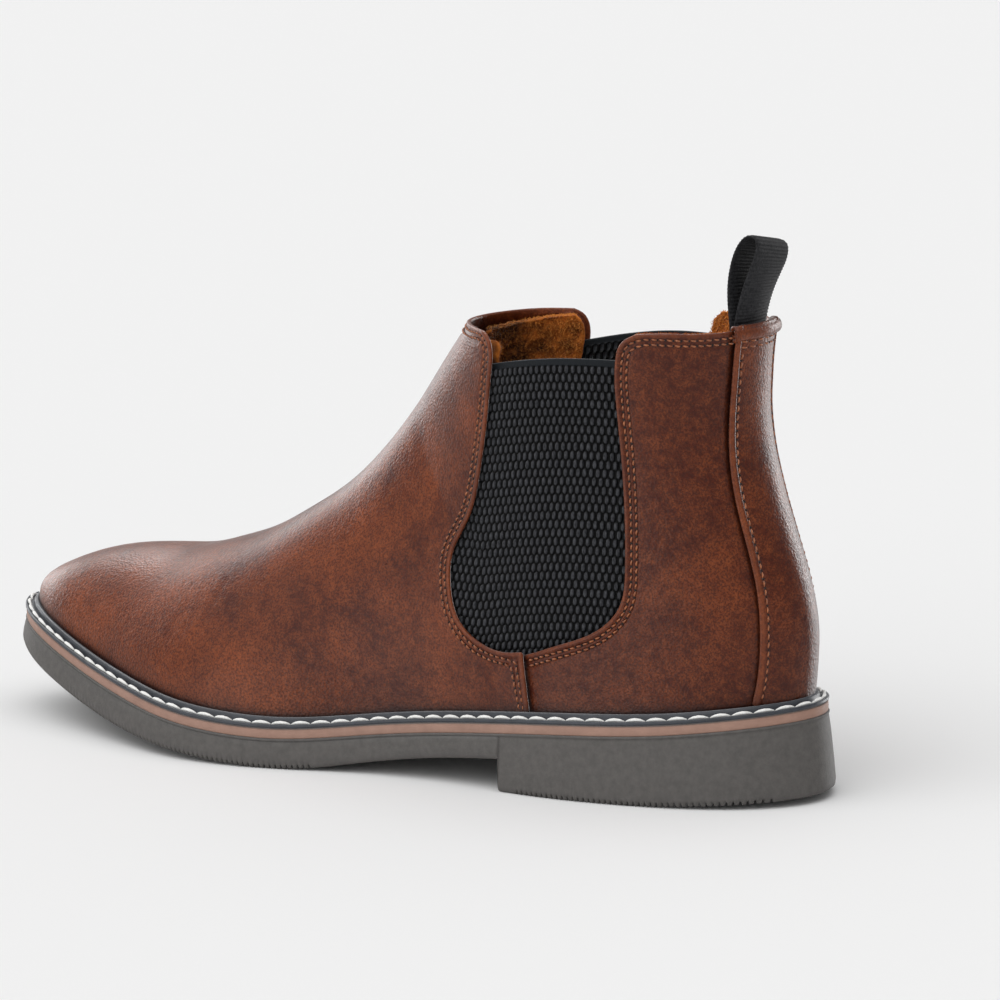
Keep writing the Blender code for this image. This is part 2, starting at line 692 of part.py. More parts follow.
def vamp_rise(points):
    """1 where the vamp lies over the quarter at the short seam, easing to 0 round about."""
    return ease(52, 61, points[..., 1]) * (1 - ease(47, 56, points[..., 2]))


def quarter_sink(points):
    """1 where the quarter lies under the vamp, easing to 0 behind the seam."""
    return (1 - ease(72, 79, points[..., 1])) * (1 - ease(47, 56, points[..., 2]))


def add_vamp():
    points = both_sides(vamp_grid, VAMP_ACROSS, VAMP_UP)
    rise = LAP_STEP * vamp_rise(points)
    add_ply("vamp", points, facing(points, OUTER), (LEATHER_PLY[0] - rise, LEATHER_PLY[1] - rise), "leather")


def add_quarters():
    """Both side panels, which meet at the back seam with a small gap."""
    points = both_sides(quarter_grid, QUARTER_ACROSS, QUARTER_UP)
    normals = facing(points, OUTER)
    seam = len(QUARTER_ACROSS) - 1
    halves = {
        "quarter_outer": (slice(0, seam + 1), -1, -2),
        "quarter_inner": (slice(seam, None), 0, 1),
    }
    for name, (columns, at_seam, beside) in halves.items():
        half = points[:, columns].copy()
        away = half[:, beside] - half[:, at_seam]
        half[:, at_seam] += away / np.linalg.norm(away, axis=1)[:, None] * GAP / 2
        sink = LAP_STEP * quarter_sink(half)
        ply = (LEATHER_PLY[0] + sink, LEATHER_PLY[1] + sink)
        add_ply(name, half, normals[:, columns], ply, "leather")


def add_back_strip():
    points = both_sides(strip_grid, np.linspace(0, 1, 6), np.linspace(0.02, 1, 16))
    add_ply("back_strip", points, facing(points, OUTER), STRIP_PLY, "leather")


def add_gores():
    side_view = gore_grid(np.linspace(0, 1, 10), np.linspace(0, 1, 14))
    for name, side in (("gore_outer", OUTER), ("gore_inner", INNER)):
        points = on_upper(side_view, side)
        add_ply(name, points, facing(points, side), GORE_PLY, "elastic")


def add_linings():
    front = both_sides(vamp_grid, VAMP_ACROSS, VAMP_UP, LINING_DROP)
    add_ply("vamp_lining", front, facing(front, OUTER), LINING_PLY, "lining")
    rear = both_sides(quarter_grid, QUARTER_ACROSS, QUARTER_UP, LINING_DROP)
    add_ply("quarter_lining", rear, facing(rear, OUTER), LINING_PLY, "lining")


def add_stiffeners():
    """The toe puff and the heel counter, between the leather and the lining."""
    pieces = (
        ("toe_puff", vamp_grid, VAMP_ACROSS, VAMP_UP, PUFF_REACH, PUFF_PLY),
        ("heel_counter", quarter_grid, QUARTER_ACROSS, QUARTER_UP, COUNTER_REACH, COUNTER_PLY),
    )
    for name, grid, across, up, (columns, rows), ply in pieces:
        points = both_sides(grid, across, up)
        normals = facing(points, OUTER)
        middle = len(across) - 1
        piece = (rows, slice(middle - columns, middle + columns + 1))
        add_ply(name, points[piece], normals[piece], ply, "stiffener")


def inset_line(line, inset):
    """A side view line moved sideways by the inset, to the right of its direction when positive."""
    ahead = np.gradient(line, axis=0)
    ahead /= np.linalg.norm(ahead, axis=1)[:, None]
    return line + inset * np.stack([ahead[:, 1], -ahead[:, 0]], -1)


def add_thread(name, side_views, depth_at, count):
    """A row of stitching: `side_views` pairs each side of the boot with its line, `depth_at` its depth."""
    parts = []
    for side, line in side_views:
        points = on_upper(line, side)
        beside = on_upper(line + (0.3, -0.5), side) - points
        normal = np.cross(np.gradient(points, axis=0), beside)
        normal *= np.where(normal[:, 0] * side < 0, -1, 1)[:, None]
        normal /= np.linalg.norm(normal, axis=1)[:, None]
        parts.append(np.hstack([points - normal * depth_at(points)[:, None], normal]))
    both = resample(np.vstack(parts), np.linspace(0, 1, count))
    add_tube(name, both[:, :3], THREAD_RADIUS, "thread", up=both[:, 3:])


def add_vamp_threads():
    """Two rows from one short seam up the front of the elastic, over the front and down the other side."""
    for number, inset in enumerate(THREAD_INSETS, 1):
        edge = inset_line(smooth_line(VAMP_EDGE[1:] + FRONT_TOP[1:2], np.linspace(0, 1, 200)), -inset)
        ridge = ridge_up_to(edge[-1, 1])
        foot = (SEAM_FOOT_Y - inset, feather_z(SEAM_FOOT_Y) + 3.6)
        seam = smooth_line([foot, (SEAM_HEAD[0] - inset, SEAM_HEAD[1] - inset - 1.5)], np.linspace(0, 1, 20))
        row = np.vstack([seam, edge, into_spine([edge[-1], ridge[-1]], 40)[1:]])
        sides = [(OUTER, row), (INNER, row[::-1][1:])]
        add_thread(f"vamp_thread_{number}", sides, lambda at: THREAD_DEPTH - LAP_STEP * vamp_rise(at), 84)


def add_quarter_threads():
    """Two rows on each side, up the back of the elastic and along the topline to the back strip."""
    for number, inset in enumerate(THREAD_INSETS, 1):
        row = inset_line(smooth_line(QUARTER_EDGE[1:] + REAR_TOP[1:], np.linspace(0, 1, 300)), inset)
        row = row[(row[:, 0] > SEAM_FOOT_Y + 2) & (row[:, 0] < 135)]
        for name, side in (("outer", OUTER), ("inner", INNER)):
            add_thread(f"quarter_thread_{name}_{number}", [(side, row)],
                       lambda at: THREAD_DEPTH + LAP_STEP * quarter_sink(at), 46)


def add_strip_threads():
    """One row beside each edge of the back strip."""
    for name, side in (("outer", OUTER), ("inner", INNER)):
        row = strip_grid(side, [STRIP_THREAD_SHARE], np.linspace(0.06, 0.985, 60))[:, 0]
        add_thread(f"strip_thread_{name}", [(side, row)],
                   lambda at: np.full(len(at), STRIP_PLY[0] + THREAD_DEPTH), 30)


def add_pull_loop():
    """Webbing folded into a loop, with both ends sewn in between the back seam and the lining."""
    path = smooth_line(LOOP_PATH, np.linspace(0, 1, 40))
    ahead = np.gradient(path, axis=0)
    ahead /= np.linalg.norm(ahead, axis=1)[:, None]
    aside = np.stack([ahead[:, 1], -ahead[:, 0]], -1) * LOOP_THICK / 2
    x = np.linspace(-LOOP_HALF_WIDTH, LOOP_HALF_WIDTH, 7)
    slices = []
    for (y, z), (dy, dz) in zip(path, aside):
        share = float(ease(LOOP_ROOT_Z, LOOP_FLAT_Z, z))
        bend = LOOP_BEND * (1 - 0.9 * share)
        tilt = LOOP_TILT * share
        near = [(LOOP_HINGE[0] + at, y + dy - bend * at * at, z + dz + tilt * at) for at in x]
        far = [(LOOP_HINGE[0] + at, y - dy - bend * at * at, z - dz + tilt * at) for at in x[::-1]]
        slices.append(near + far)
    add_slices("pull_loop", slices, "webbing")


def clear_scene():
    for item in list(bpy.data.objects):
        bpy.data.objects.remove(item)


clear_scene()
BOOT = collection("chelsea_boot")
add_outsole()
add_midsole()
add_welt()
add_welt_stitch()
add_shank()
add_bottom_filler()
add_insole_board()
add_sock_liner()
add_vamp()
add_quarters()
add_back_strip()
add_gores()
add_linings()
add_stiffeners()
add_pull_loop()
add_vamp_threads()
add_quarter_threads()
add_strip_threads()
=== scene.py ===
"""The looks of a men's chelsea boot for the left foot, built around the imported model.

The lines that draw the boot are in millimetres, toe towards -Y and the outer side towards +X. The upper's
panels are patches of one surface, the boot's outside, each with its own thickness and rounded edges. They
are drawn in the side view, as (y, z), and each point is then moved out to the surface.
"""

import math
from functools import cache

import bpy
import numpy as np
from mathutils import Matrix, Vector


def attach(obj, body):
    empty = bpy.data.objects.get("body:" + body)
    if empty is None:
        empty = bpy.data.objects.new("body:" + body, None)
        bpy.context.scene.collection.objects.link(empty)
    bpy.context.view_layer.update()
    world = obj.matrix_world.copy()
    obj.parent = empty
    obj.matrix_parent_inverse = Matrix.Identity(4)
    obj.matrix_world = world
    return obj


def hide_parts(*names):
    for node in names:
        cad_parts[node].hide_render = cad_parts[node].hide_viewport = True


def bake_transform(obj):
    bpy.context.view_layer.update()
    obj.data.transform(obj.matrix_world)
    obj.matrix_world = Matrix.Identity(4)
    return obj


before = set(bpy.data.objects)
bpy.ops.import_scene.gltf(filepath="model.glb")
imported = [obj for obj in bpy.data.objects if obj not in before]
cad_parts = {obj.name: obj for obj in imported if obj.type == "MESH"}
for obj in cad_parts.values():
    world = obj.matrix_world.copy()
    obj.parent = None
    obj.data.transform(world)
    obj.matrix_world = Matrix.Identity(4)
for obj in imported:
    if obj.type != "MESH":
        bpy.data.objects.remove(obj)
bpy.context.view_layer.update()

MM = 0.001
# The middle of the boot's box, in the millimetres used below: it becomes the object's origin.
BOX_MIDDLE = (1.8, 2.75, 0.0)
OUTER = 1
INNER = -1
SIDES = {"outer": OUTER, "inner": INNER}
# Between neighbouring layers.
GAP = 0.3

# Sole, seen from above: (x, y) round the edge, from the back of the heel down the outer side.
SOLE_EDGE = [
    (4, 159), (16.5, 153), (29, 136), (37.5, 108), (41, 78), (39.5, 42), (42.5, 8), (51.5, -27),
    (53, -55), (45, -85), (33.8, -114), (20, -140), (-0.6, -153.6), (-20.5, -143), (-37, -119.5),
    (-47, -90), (-50, -58), (-45, -22), (-36, 12), (-31, 42), (-31, 75), (-31, 108), (-25.5, 135),
    (-12.5, 153.5),
]
# Height of the outsole's top and underside along the boot: (y, z).
SOLE_TOP = [
    (-154, 31.8), (-133, 27.8), (-111, 22), (-82, 15.9), (-56, 11.9), (-35, 10.1), (-17, 9.7), (0, 11),
    (18, 13.3), (50, 17), (82, 20), (107, 21.5), (123, 22.8), (136, 24.2), (160, 26.8),
]
SOLE_UNDER = [
    (-154, 25), (-146, 22.4), (-128, 16.8), (-112, 12), (-83, 5.6), (-56, 2.3), (-35, 0.6), (-17, 0),
    (-9, 0.4), (7, 2.8), (25, 5.8), (41, 8), (64, 10.4),
]
HEEL_BREAST = 64.0
HEEL_LIFT_FROM = 101.0
HEEL_LIFT = 2.5
TREAD_DEPTH = 1.2

MIDSOLE_THICK = 3.0
WELT_BASE = MIDSOLE_THICK + 2 * GAP
# How far inside the sole's edge the upper meets the welt.
UPPER_INSET = 5.5

# Side view of the upper: (y, z).
RIDGE = [
    (-148.2, 35.5), (-148.8, 39), (-144.5, 44.8), (-136.5, 49.2), (-125, 53.6), (-110, 56.8), (-95, 58),
    (-82, 59.3), (-68, 62.8), (-47, 70.3), (-33, 77.8), (-20, 86), (-10, 94), (1.5, 105.5),
    (10.5, 116), (19.8, 127.5), (26.7, 136), (33.5, 144), (40, 153), (46, 163),
]
BACK = [
    (20, 152), (30, 153), (40, 154.1), (50, 154.8), (63, 153.4), (80, 147.9), (95, 142.9), (110, 139.1),
    (125, 137.9), (149, 140.4), (170, 142.9),
]
SHAFT_MIDDLE = 86.0
SHAFT_TOP = 170.0
# Where a cut square to the ridge at y comes down on the feather line: (y on the ridge, y there).
SECTION_FEET = [
    (-150, -150), (-100, -100), (-70, -69), (-47, -42), (-33, -20), (-20, 8), (-10, 32), (1.5, 58),
    (10.5, 80),
]
CENTRE_LINE = [(-150, -1), (-110, -2.5), (-60, -4), (-20, -3), (20, 0), (60, 2.5), (90, 3), (160, 3)]
SHAFT_HALF_OUTER = [(20, 33), (60, 32.5), (90, 31.5), (110, 31.5), (150, 34), (175, 35)]
SHAFT_HALF_INNER = [(20, 30), (60, 30.5), (90, 31), (110, 31.5), (150, 34), (175, 35)]
ROUNDNESS = 2.2
BACK_ROUNDNESS = 2.1
# Heights between which the shaft takes over from the foot, in its width and in the shape of its back.
SHAFT_WIDTH_BAND = (22, 125)
SEAT_TO_OVAL_BAND = (30, 130)
ROW_FADE = 4

# Edges of the panels in the side view: (y, z).
SEAM_FOOT_Y = 73.0
SEAM_HEAD = (69.9, 44.5)
VAMP_EDGE = [
    SEAM_HEAD, (63.9, 43.8), (52.7, 45.7), (44, 52.1), (40.3, 62.2), (40.5, 73.5), (46.8, 84.8),
    (52.1, 102.6), (55.2, 119), (57.2, 132), (57.8, 138.5), (56.2, 142.6), (52.5, 144.8),
]
QUARTER_EDGE = [
    (63.5, 42.2), (70.6, 43.6), (82.7, 47.7), (98.4, 54.4), (105.4, 62.2), (107.4, 74), (107.4, 90),
    (106.5, 110.5), (105.7, 127), (106.3, 139.5), (108.4, 145.2), (113.5, 148.2),
]
TONGUE_FOOT_Y = 63.5
FRONT_TOP = [(52.5, 144.8), (44, 145), (34, 144.6)]
REAR_TOP = [(113.5, 148.2), (122, 148.4), (132, 148), (140.4, 148.3)]
GORE_FRONT = [(42, 51), (35.5, 62), (36, 74), (42, 87), (46.8, 102), (49.6, 119), (51, 133)]
GORE_FOOT = [(42, 51), (52, 41), (64, 38.6), (78, 40.8), (96, 48), (107, 55)]
GORE_REAR = [(107, 55), (113, 66), (114.2, 80), (113.8, 100), (113, 118), (113.5, 138.5)]
GORE_TOP = [(51, 133), (67, 135.8), (84, 137.9), (100, 138.5), (113.5, 138.2)]
STRIP_EDGE = [
    (143.9, 31), (145.5, 38.4), (146.8, 50.2), (146, 65.2), (142.2, 80.4), (137.9, 95.7),
    (135.3, 111), (135.3, 126.6), (138, 149.5),
]

# Plies: depth below the boot's outside, from the outer face to the inner face.
STRIP_PLY = (-1.6, -GAP)
LAP_STEP = 0.8
GORE_PLY = (2.4, 3.3)
PUFF_PLY = (2.1, 3.3)
COUNTER_PLY = (1.9, 3.6)
LINING_PLY = (4.4, 5.7)
THREAD_RADIUS = 0.3

INSOLE_INSET = 12.2
INSOLE_THICK = 2.2
SOCK_INSET = 12.6
SOCK_THICK = 3.0
FILLER_THICK = 1.6

LOOP_HALF_WIDTH = 9.2
LOOP_THICK = 0.9
LOOP_BEND = 1 / (2 * 17.6)
LOOP_FLAT_Z = 176.0
LOOP_ROOT_Z = 148.0
# How much lower the top of the loop is on its inner side, as a slope.
LOOP_TILT = 0.2
# Middle of the webbing in the side view, up the outer leg, over the top and down the inner leg: (y, z).
LOOP_PATH = [
    (136.9, 137.5), (138.1, 147), (139.2, 153), (140.9, 160), (143.4, 167), (144.9, 172.5), (144.4, 175),
    (142.3, 175.8), (139.2, 174), (136.4, 168.5), (135.5, 161), (136.4, 153), (137, 147), (135.8, 137.5),
]
# The middle of the loop's hinge, across the boot.
LOOP_HINGE_X = 3.0

# Looks: sizes in millimetres, shares, and counts of steps.
LEATHER_THICK = 1.3
EDGE_INSET = 0.65
EDGE_STEPS = 5
BEAD = 0.34
DIP = 0.36
STITCH_ROWS = (2.1, 3.8)
STRIP_ROWS = (1.9,)
SEAM_GROOVE = 0.35
SWELL = 0.1
NOISE_WAVES = 14
PITCH = 2.4
STRIP_PITCH = 2.7
THREAD_RISE = 0.34
THREAD_SHARE = 0.68
# Near-black blobs between the stitches, painted shade standing for the needle holes: their radius, how far
# they sink and their share of a step.
HOLE_RADIUS = 0.54
HOLE_SINK = 0.12
HOLE_SHARE = 0.2
SLANT = 0.12
THREAD_SINK = 0.14
# How far above the welt the rows beside the short seam start.
SEAM_ROW_FOOT = 2.6
STITCH_RINGS = 7
STITCH_SIDES = 7
WELT_PITCH = 6.8
WELT_THREAD = 0.58
WELT_SHARE = 0.98
WELT_RISE = 0.75
WELT_BOW = -0.55
WELT_ROW = 1.95
WELT_ROW_HIGH = 1.0
# Painted shade along the welt: where it starts and how fast it fades. Painted highlight along the turned
# edges: where it peaks and how wide it is.
PAINTED_SHADE_FROM = 2.7
PAINTED_SHADE_FADE = 1.6
EDGE_HIGHLIGHT_AT = 0.3
EDGE_HIGHLIGHT_WIDE = 0.5
SPINE_SMOOTH = 14
CREASES = [
    ([(-52, 22), (-47, 31), (-40, 40), (-36, 50)], 0.22, 0.9),
    ([(-45, 20), (-41, 28), (-33, 37)], 0.2, 0.8),
    ([(-61, 25), (-57, 33), (-52, 44), (-50, 55)], 0.16, 1.0),
    ([(-36, 24), (-30, 33), (-24, 45)], 0.16, 0.9),
    ([(-68, 28), (-66, 38), (-62, 48)], 0.12, 0.9),
]
# Across the welt: (distance inside the sole's edge, height above the welt's underside).
WELT_SECTION = [
    (0.5, 0.0), (0.25, 0.15), (0.14, 0.45), (0.16, 0.9), (0.35, 1.2), (0.65, 1.25), (0.95, 1.1),
    (1.2, 0.8), (1.6, 0.65), (2.7, 0.7), (3.0, 1.1), (3.15, 1.9), (3.35, 2.5), (3.8, 2.9), (4.4, 2.95),
    (5.3, 2.4), (5.3, 0.0),
]
# Up the outsole's wall: (distance inside the edge, share of the wall's height, height added).
OUTSOLE_WALL = [
    (3.4, 0, 0), (1.5, 0, 0), (0.25, 0, 0.1), (-0.5, 0, 0.7), (-0.75, 0.06, 1.0), (-0.55, 0.35, 0.6),
    (-0.15, 0.7, 0), (0.3, 0.93, 0), (0.42, 1, -0.75), (0.12, 1, -0.62), (0.08, 1, -0.15), (0.3, 1, 0),
]
# Up the midsole's wall: (distance inside the edge, height above the outsole's top).
MIDSOLE_WALL = [(1.0, 0.12), (0.55, 0.14), (0.4, 0.5), (0.38, 1.7), (0.45, 2.9), (0.7, 3.15), (1.2, 3.2)]
PLATE_END = 0.3
HEEL_FLARE = 0.9
TOE_FLARE = 0.4
# Share of the tread's depth that each of the wall's lowest points is cut by.
TREAD_CUT = [1.0, 1.0, 0.9, 0.7]
TREAD_PITCH = 1.85
TREAD_WIDTH = 0.75
HEEL_TREAD = (71.0, 152.0)
FOREPART_TREAD = (-112.0, -6.0)
# How far from the sole's tips its first and last cuts lie.
TIP = 0.02
GORE_THICK = 1.1
KNOT_COLUMN = 2.36
KNOT_ROW = 2.72
KNOT_HALF = (0.33, 0.54)
KNOT_HIGH = 1.0
KNOT_LEAN = 0.07
PLAIN_EDGE = 1.3
PILE_LUMPS = 0.45
PILE_REACH = 42.0
PILE_COUNT = 14000
PILE_LENGTH = 0.95
BLADE_HALF_WIDTH = 0.13
PILE_DROP = 0.6
PILE_INSET = 1.2
PILE_INSET_NEAR = 3.6
# Shares of the strip's height between which it is sewn, and how many cuts apart its crossing rows lie.
STRIP_ROW_REACH = (0.02, 0.962)
CROSS_ROW_STEP = 4
# The curl at the strip's top: its middle, its half-sizes, its turns in degrees and how tight it ends.
ROLL_DEPTH = -0.3
ROLL_DROP = -2.0
ROLL_WIDE = 2.3
ROLL_HIGH = 2.5
ROLL_FLARE = 0.22
ROLL_THICK = 0.75
ROLL_TURNS = (-110, 420)
ROLL_CORE = 0.42
ROLL_PAST = 1.5
RIB_PITCH = 1.1
RIB_HIGH = 0.15
# Dark and light colour, size of the clouds, roughness, depth and size of the tooth, and shader settings.
PLAIN_FINISHES = {
    "rubber": ((0.076, 0.071, 0.067), (0.106, 0.098, 0.092), 2.5, 0.72, 0.09, 0.6, {}),
    "midsole_board": ((0.31, 0.18, 0.135), (0.38, 0.225, 0.17), 5, 0.7, 0.04, 0.5, {}),
    "welt_leather": ((0.02, 0.023, 0.03), (0.04, 0.046, 0.058), 6, 0.46, 0.04, 0.5, {}),
    "white_thread": ((0.82, 0.82, 0.79), (0.97, 0.97, 0.95), 1.2, 0.7, 0.06, 0.35, {}),
    "brown_thread": ((0.17, 0.042, 0.011), (0.46, 0.15, 0.048), 1.5, 0.55, 0.05, 0.25, {}),
    "needle_hole_shade": ((0.006, 0.003, 0.002), (0.014, 0.007, 0.005), 1.0, 0.9, 0.03, 0.4, {}),
    "cork": ((0.25, 0.14, 0.07), (0.5, 0.31, 0.16), 2.0, 0.85, 0.15, 0.9, {}),
    "fibreboard": ((0.42, 0.31, 0.2), (0.58, 0.45, 0.31), 4.0, 0.85, 0.05, 0.6, {}),
    "stiffener": ((0.62, 0.6, 0.54), (0.78, 0.76, 0.7), 5.0, 0.8, 0.05, 0.6, {}),
    "shank_steel": ((0.38, 0.38, 0.39), (0.56, 0.56, 0.57), 7.0, 0.38, 0.01, 0.4, {"Metallic": 1.0}),
    "sock_fabric": ((0.16, 0.075, 0.032), (0.3, 0.14, 0.06), 3.0, 0.9, 0.12, 0.7, {"Sheen_Weight": 0.3}),
}

# The camera and the light: angles in degrees, the target in millimetres and the distance in metres.
CAMERA_FROM = (125.4, 10.63)
CAMERA_TARGET = (0, 0, 75)
CAMERA_DISTANCE = 2.007
CAMERA_ROLL = -1.51
CAMERA_SHIFT = (0.0983, 0.0192)
LENS = 222.8
ROOM_LIGHT = 0.46
FLOOR_SHADE = 0.885
FLOOR_REACH = 8.0
# (name, azimuth, elevation, how wide it looks in degrees, strength)
LIGHTS = [
    ("ceiling", 100, 78, 80, 1.2),
    ("key", 72, 40, 80, 0.8),
    ("left", 338, 11, 30, 0.85),
    ("back", 318, 44, 30, 1.4),
    ("edge_low", 262, -10, 12, 0.5),
    ("edge", 262, 2, 12, 0.5),
    ("edge_high", 262, 14, 12, 0.35),
    ("side", 68, -5, 35, 0.5),
]
# These lights are seen in the gloss alone.
GLOSS_LIGHTS = ("left", "back", "edge_low", "edge", "edge_high", "side")


# Curves

def even(count):
    """Shares from 0 to 1 in even steps."""
    return np.linspace(0, 1, count)


def spline(knots, values, at):
    """A natural cubic through the values, read at the places in `at`."""
    knots = np.asarray(knots, float)
    values = np.asarray(values, float)
    steps = np.diff(knots)
    matrix = np.eye(len(knots))
    right = np.zeros_like(values)
    for i in range(1, len(knots) - 1):
        matrix[i, i - 1:i + 2] = steps[i - 1], 2 * (steps[i - 1] + steps[i]), steps[i]
        right[i] = 6 * ((values[i + 1] - values[i]) / steps[i] - (values[i] - values[i - 1]) / steps[i - 1])
    bend = np.linalg.solve(matrix, right)
    at = np.clip(np.asarray(at, float), knots[0], knots[-1])
    i = np.clip(np.searchsorted(knots, at, side="right") - 1, 0, len(knots) - 2)
    shape = i.shape + (1,) * (values.ndim - 1)
    past = (at - knots[i]).reshape(shape)
    left = (knots[i + 1] - at).reshape(shape)
    step = steps[i].reshape(shape)
    curve = (bend[i] * left**3 + bend[i + 1] * past**3) / (6 * step)
    start = values[i] / step - bend[i] * step / 6
    end = values[i + 1] / step - bend[i + 1] * step / 6
    return curve + start * left + end * past


def read(table, at):
    """The height or width that a table of (place, value) gives at each place."""
    table = np.array(table, float)
    return spline(table[:, 0], table[:, 1], at)


def unit(vectors):
    return vectors / np.maximum(np.linalg.norm(vectors, axis=-1, keepdims=True), 1e-9)


def right_of(ahead):
    """What lies to the right of each direction in a plane."""
    return np.stack([ahead[:, 1], -ahead[:, 0]], -1)


def lengths(points):
    """How far along a line each of its points lies."""
    return np.concatenate([[0], np.cumsum(np.linalg.norm(np.diff(points, axis=0), axis=1))])


def between(at, run, rows):
    """The columns of the rows, each read at these places along the run."""
    return np.stack([np.interp(at, run, column) for column in rows.T], -1)


def resample(points, shares):
    """Points on a fine polyline at these shares of its length."""
    run = lengths(points)
    return between(np.asarray(shares) * run[-1], run, points)


def smooth_line(points, shares):
    """A smooth curve through a few points, read at shares of its length."""
    points = np.asarray(points, float)
    run = lengths(points)
    return resample(spline(run, points, np.linspace(0, run[-1], 600)), shares)


def smooth_ring(points, count):
    """A smooth closed curve through the points, at even steps."""
    points = np.asarray(points, float)
    wrapped = np.vstack([points[-3:], points, points[:4]])
    run = lengths(wrapped)
    fine = spline(run, wrapped, np.linspace(run[3], run[-4], 2400))
    return resample(fine, even(count + 1)[:-1])


def ease(start, end, at):
    """0 up to the start and 1 from the end on, with a smooth step between."""
    share = np.clip((np.asarray(at, float) - start) / (end - start), 0, 1)
    return share * share * (3 - 2 * share)


# The sole's edge

RING = smooth_ring(SOLE_EDGE, 720)
INWARDS = right_of(unit(np.roll(RING, -1, axis=0) - np.roll(RING, 1, axis=0)))


def halves(ring):
    """The outer and inner sides of a line round the sole, each from toe to heel."""
    ring = np.roll(ring, -int(ring[:, 1].argmax()), axis=0)
    toe = int(ring[:, 1].argmin())
    return ring[:toe + 1][::-1], np.vstack([ring[toe:], ring[:1]])


FEATHER = dict(zip((OUTER, INNER), halves(RING + UPPER_INSET * INWARDS)))
FEATHER_HEEL_Y = FEATHER[OUTER][-1, 1]


def centre(y):
    return read(CENTRE_LINE, y)


def feather_half(y, side):
    line = FEATHER[side]
    return np.abs(np.interp(y, line[:, 1], line[:, 0]) - centre(y))


def feather_z(y):
    return read(SOLE_TOP, y) + MIDSOLE_THICK + 3 * GAP


# The outside of the upper

def section_lines():
    """Pairs of points: on the ridge, and where its cut ends on the feather line or the shaft's middle."""
    ridge = smooth_line(RIDGE, even(500))
    last_foot = int(np.argmax(ridge[:, 0] > SECTION_FEET[-1][0]))
    foot = np.empty_like(ridge)
    foot[:last_foot, 0] = np.minimum(read(SECTION_FEET, ridge[:last_foot, 0]), SHAFT_MIDDLE)
    foot[:last_foot, 1] = feather_z(foot[:last_foot, 0])
    rise = even(len(ridge) - last_foot + 1)[1:]
    low = float(feather_z(SHAFT_MIDDLE))
    foot[last_foot:, 0] = SHAFT_MIDDLE
    foot[last_foot:, 1] = low + (SHAFT_TOP - low) * rise
    return ridge, foot


RIDGE_LINE, FOOT_LINE = section_lines()


def share_to_ridge(y, z):
    """0 on the feather line or the shaft's middle, and 1 on the ridge, along the cuts square to the ridge."""
    span = RIDGE_LINE - FOOT_LINE
    from_foot_y = y[:, None] - FOOT_LINE[None, :, 0]
    from_foot_z = z[:, None] - FOOT_LINE[None, :, 1]
    turn = span[None, :, 0] * from_foot_z - span[None, :, 1] * from_foot_y
    i = np.clip((turn < 0).sum(axis=1), 1, len(span) - 1)
    rows = np.arange(len(y))
    before = turn[rows, i - 1]
    after = turn[rows, i]
    step = np.where(np.abs(after - before) > 1e-12, after - before, 1.0)
    share = np.clip(-before / step, 0, 1)[:, None]
    ridge = RIDGE_LINE[i - 1] * (1 - share) + RIDGE_LINE[i] * share
    foot = FOOT_LINE[i - 1] * (1 - share) + FOOT_LINE[i] * share
    cut = ridge - foot
    place = np.stack([y, z], -1) - foot
    return np.clip((cut * place).sum(axis=1) / np.maximum((cut * cut).sum(axis=1), 1e-9), 0, 1)


def half_width(y, z, side):
    """How far the outside stands from the centre line at this place in the side view."""
    base_y = np.minimum(y, SHAFT_MIDDLE)
    low = feather_half(base_y, side)
    high = read(SHAFT_HALF_OUTER if side == OUTER else SHAFT_HALF_INNER, z)
    width = low + (high - low) * ease(*SHAFT_WIDTH_BAND, z)
    front = np.maximum(1 - share_to_ridge(y, z) ** ROUNDNESS, 0) ** (1 / ROUNDNESS)
    back_y = read(BACK, z)
    to_back = np.clip((y - SHAFT_MIDDLE) / (back_y - SHAFT_MIDDLE), 0, 1)
    seat_y = SHAFT_MIDDLE + to_back * (FEATHER_HEEL_Y - SHAFT_MIDDLE)
    seat = feather_half(seat_y, side) / feather_half(np.array([SHAFT_MIDDLE]), side)
    seat = np.where(to_back >= 1, 0, seat)
    oval = np.sqrt(np.maximum(1 - to_back**BACK_ROUNDNESS, 0))
    blend = ease(*SEAT_TO_OVAL_BAND, z)
    return width * front * (seat * (1 - blend) + oval * blend)


def on_upper(side_view, side):
    """Points on the boot's outside from points of the side view."""
    flat = side_view.reshape(-1, 2)
    x = centre(flat[:, 0]) + side * half_width(flat[:, 0], flat[:, 1], side)
    return np.concatenate([x[:, None], flat], axis=1).reshape(side_view.shape[:-1] + (3,))


# Patches of the upper

def even_row(side_view, side, shares):
    """Places in the side view at shares of the length that the line has on the boot's outside."""
    run = lengths(on_upper(side_view, side))
    return between(shares * run[-1], run, side_view)


def into_spine(points, count=400):
    """A smooth line that ends on the spine, with its points crowding there."""
    return smooth_line(points, np.sin(np.linspace(0, np.pi / 2, count)))


def feather_line(from_y, to_y, side):
    """The feather line in the side view from one place to the other."""
    line = FEATHER[side]
    low, high = sorted((from_y, to_y))
    y = np.concatenate([[low], line[(line[:, 1] > low) & (line[:, 1] < high), 1], [high]])
    y = y if from_y < to_y else y[::-1]
    return np.stack([y, feather_z(y)], -1)


def patch(edge, foot, top, spine, side, across, up):
    """A side view grid between four lines, as rows from the foot (0) to the top (1).

    Each row runs from the panel's edge (0) to the spine (1), where the boot turns to its other side. The
    rows away from the foot and the top are nearly straight.
    """
    across = np.asarray(across, float)
    up = np.asarray(up, float)
    towards = np.sin(across * np.pi / 2)[None, :, None]
    rise = up[:, None, None]
    foot_row = even_row(foot, side, across)[None]
    top_row = even_row(top, side, across)[None]
    edge_column = resample(edge, up)[:, None]
    spine_column = resample(spine, up)[:, None]
    low = (1 - towards) * foot[0] + towards * foot[-1]
    high = (1 - towards) * top[0] + towards * top[-1]
    rows = (1 - rise) ** ROW_FADE * (foot_row - low) + rise**ROW_FADE * (top_row - high)
    return rows + (1 - towards) * edge_column + towards * spine_column


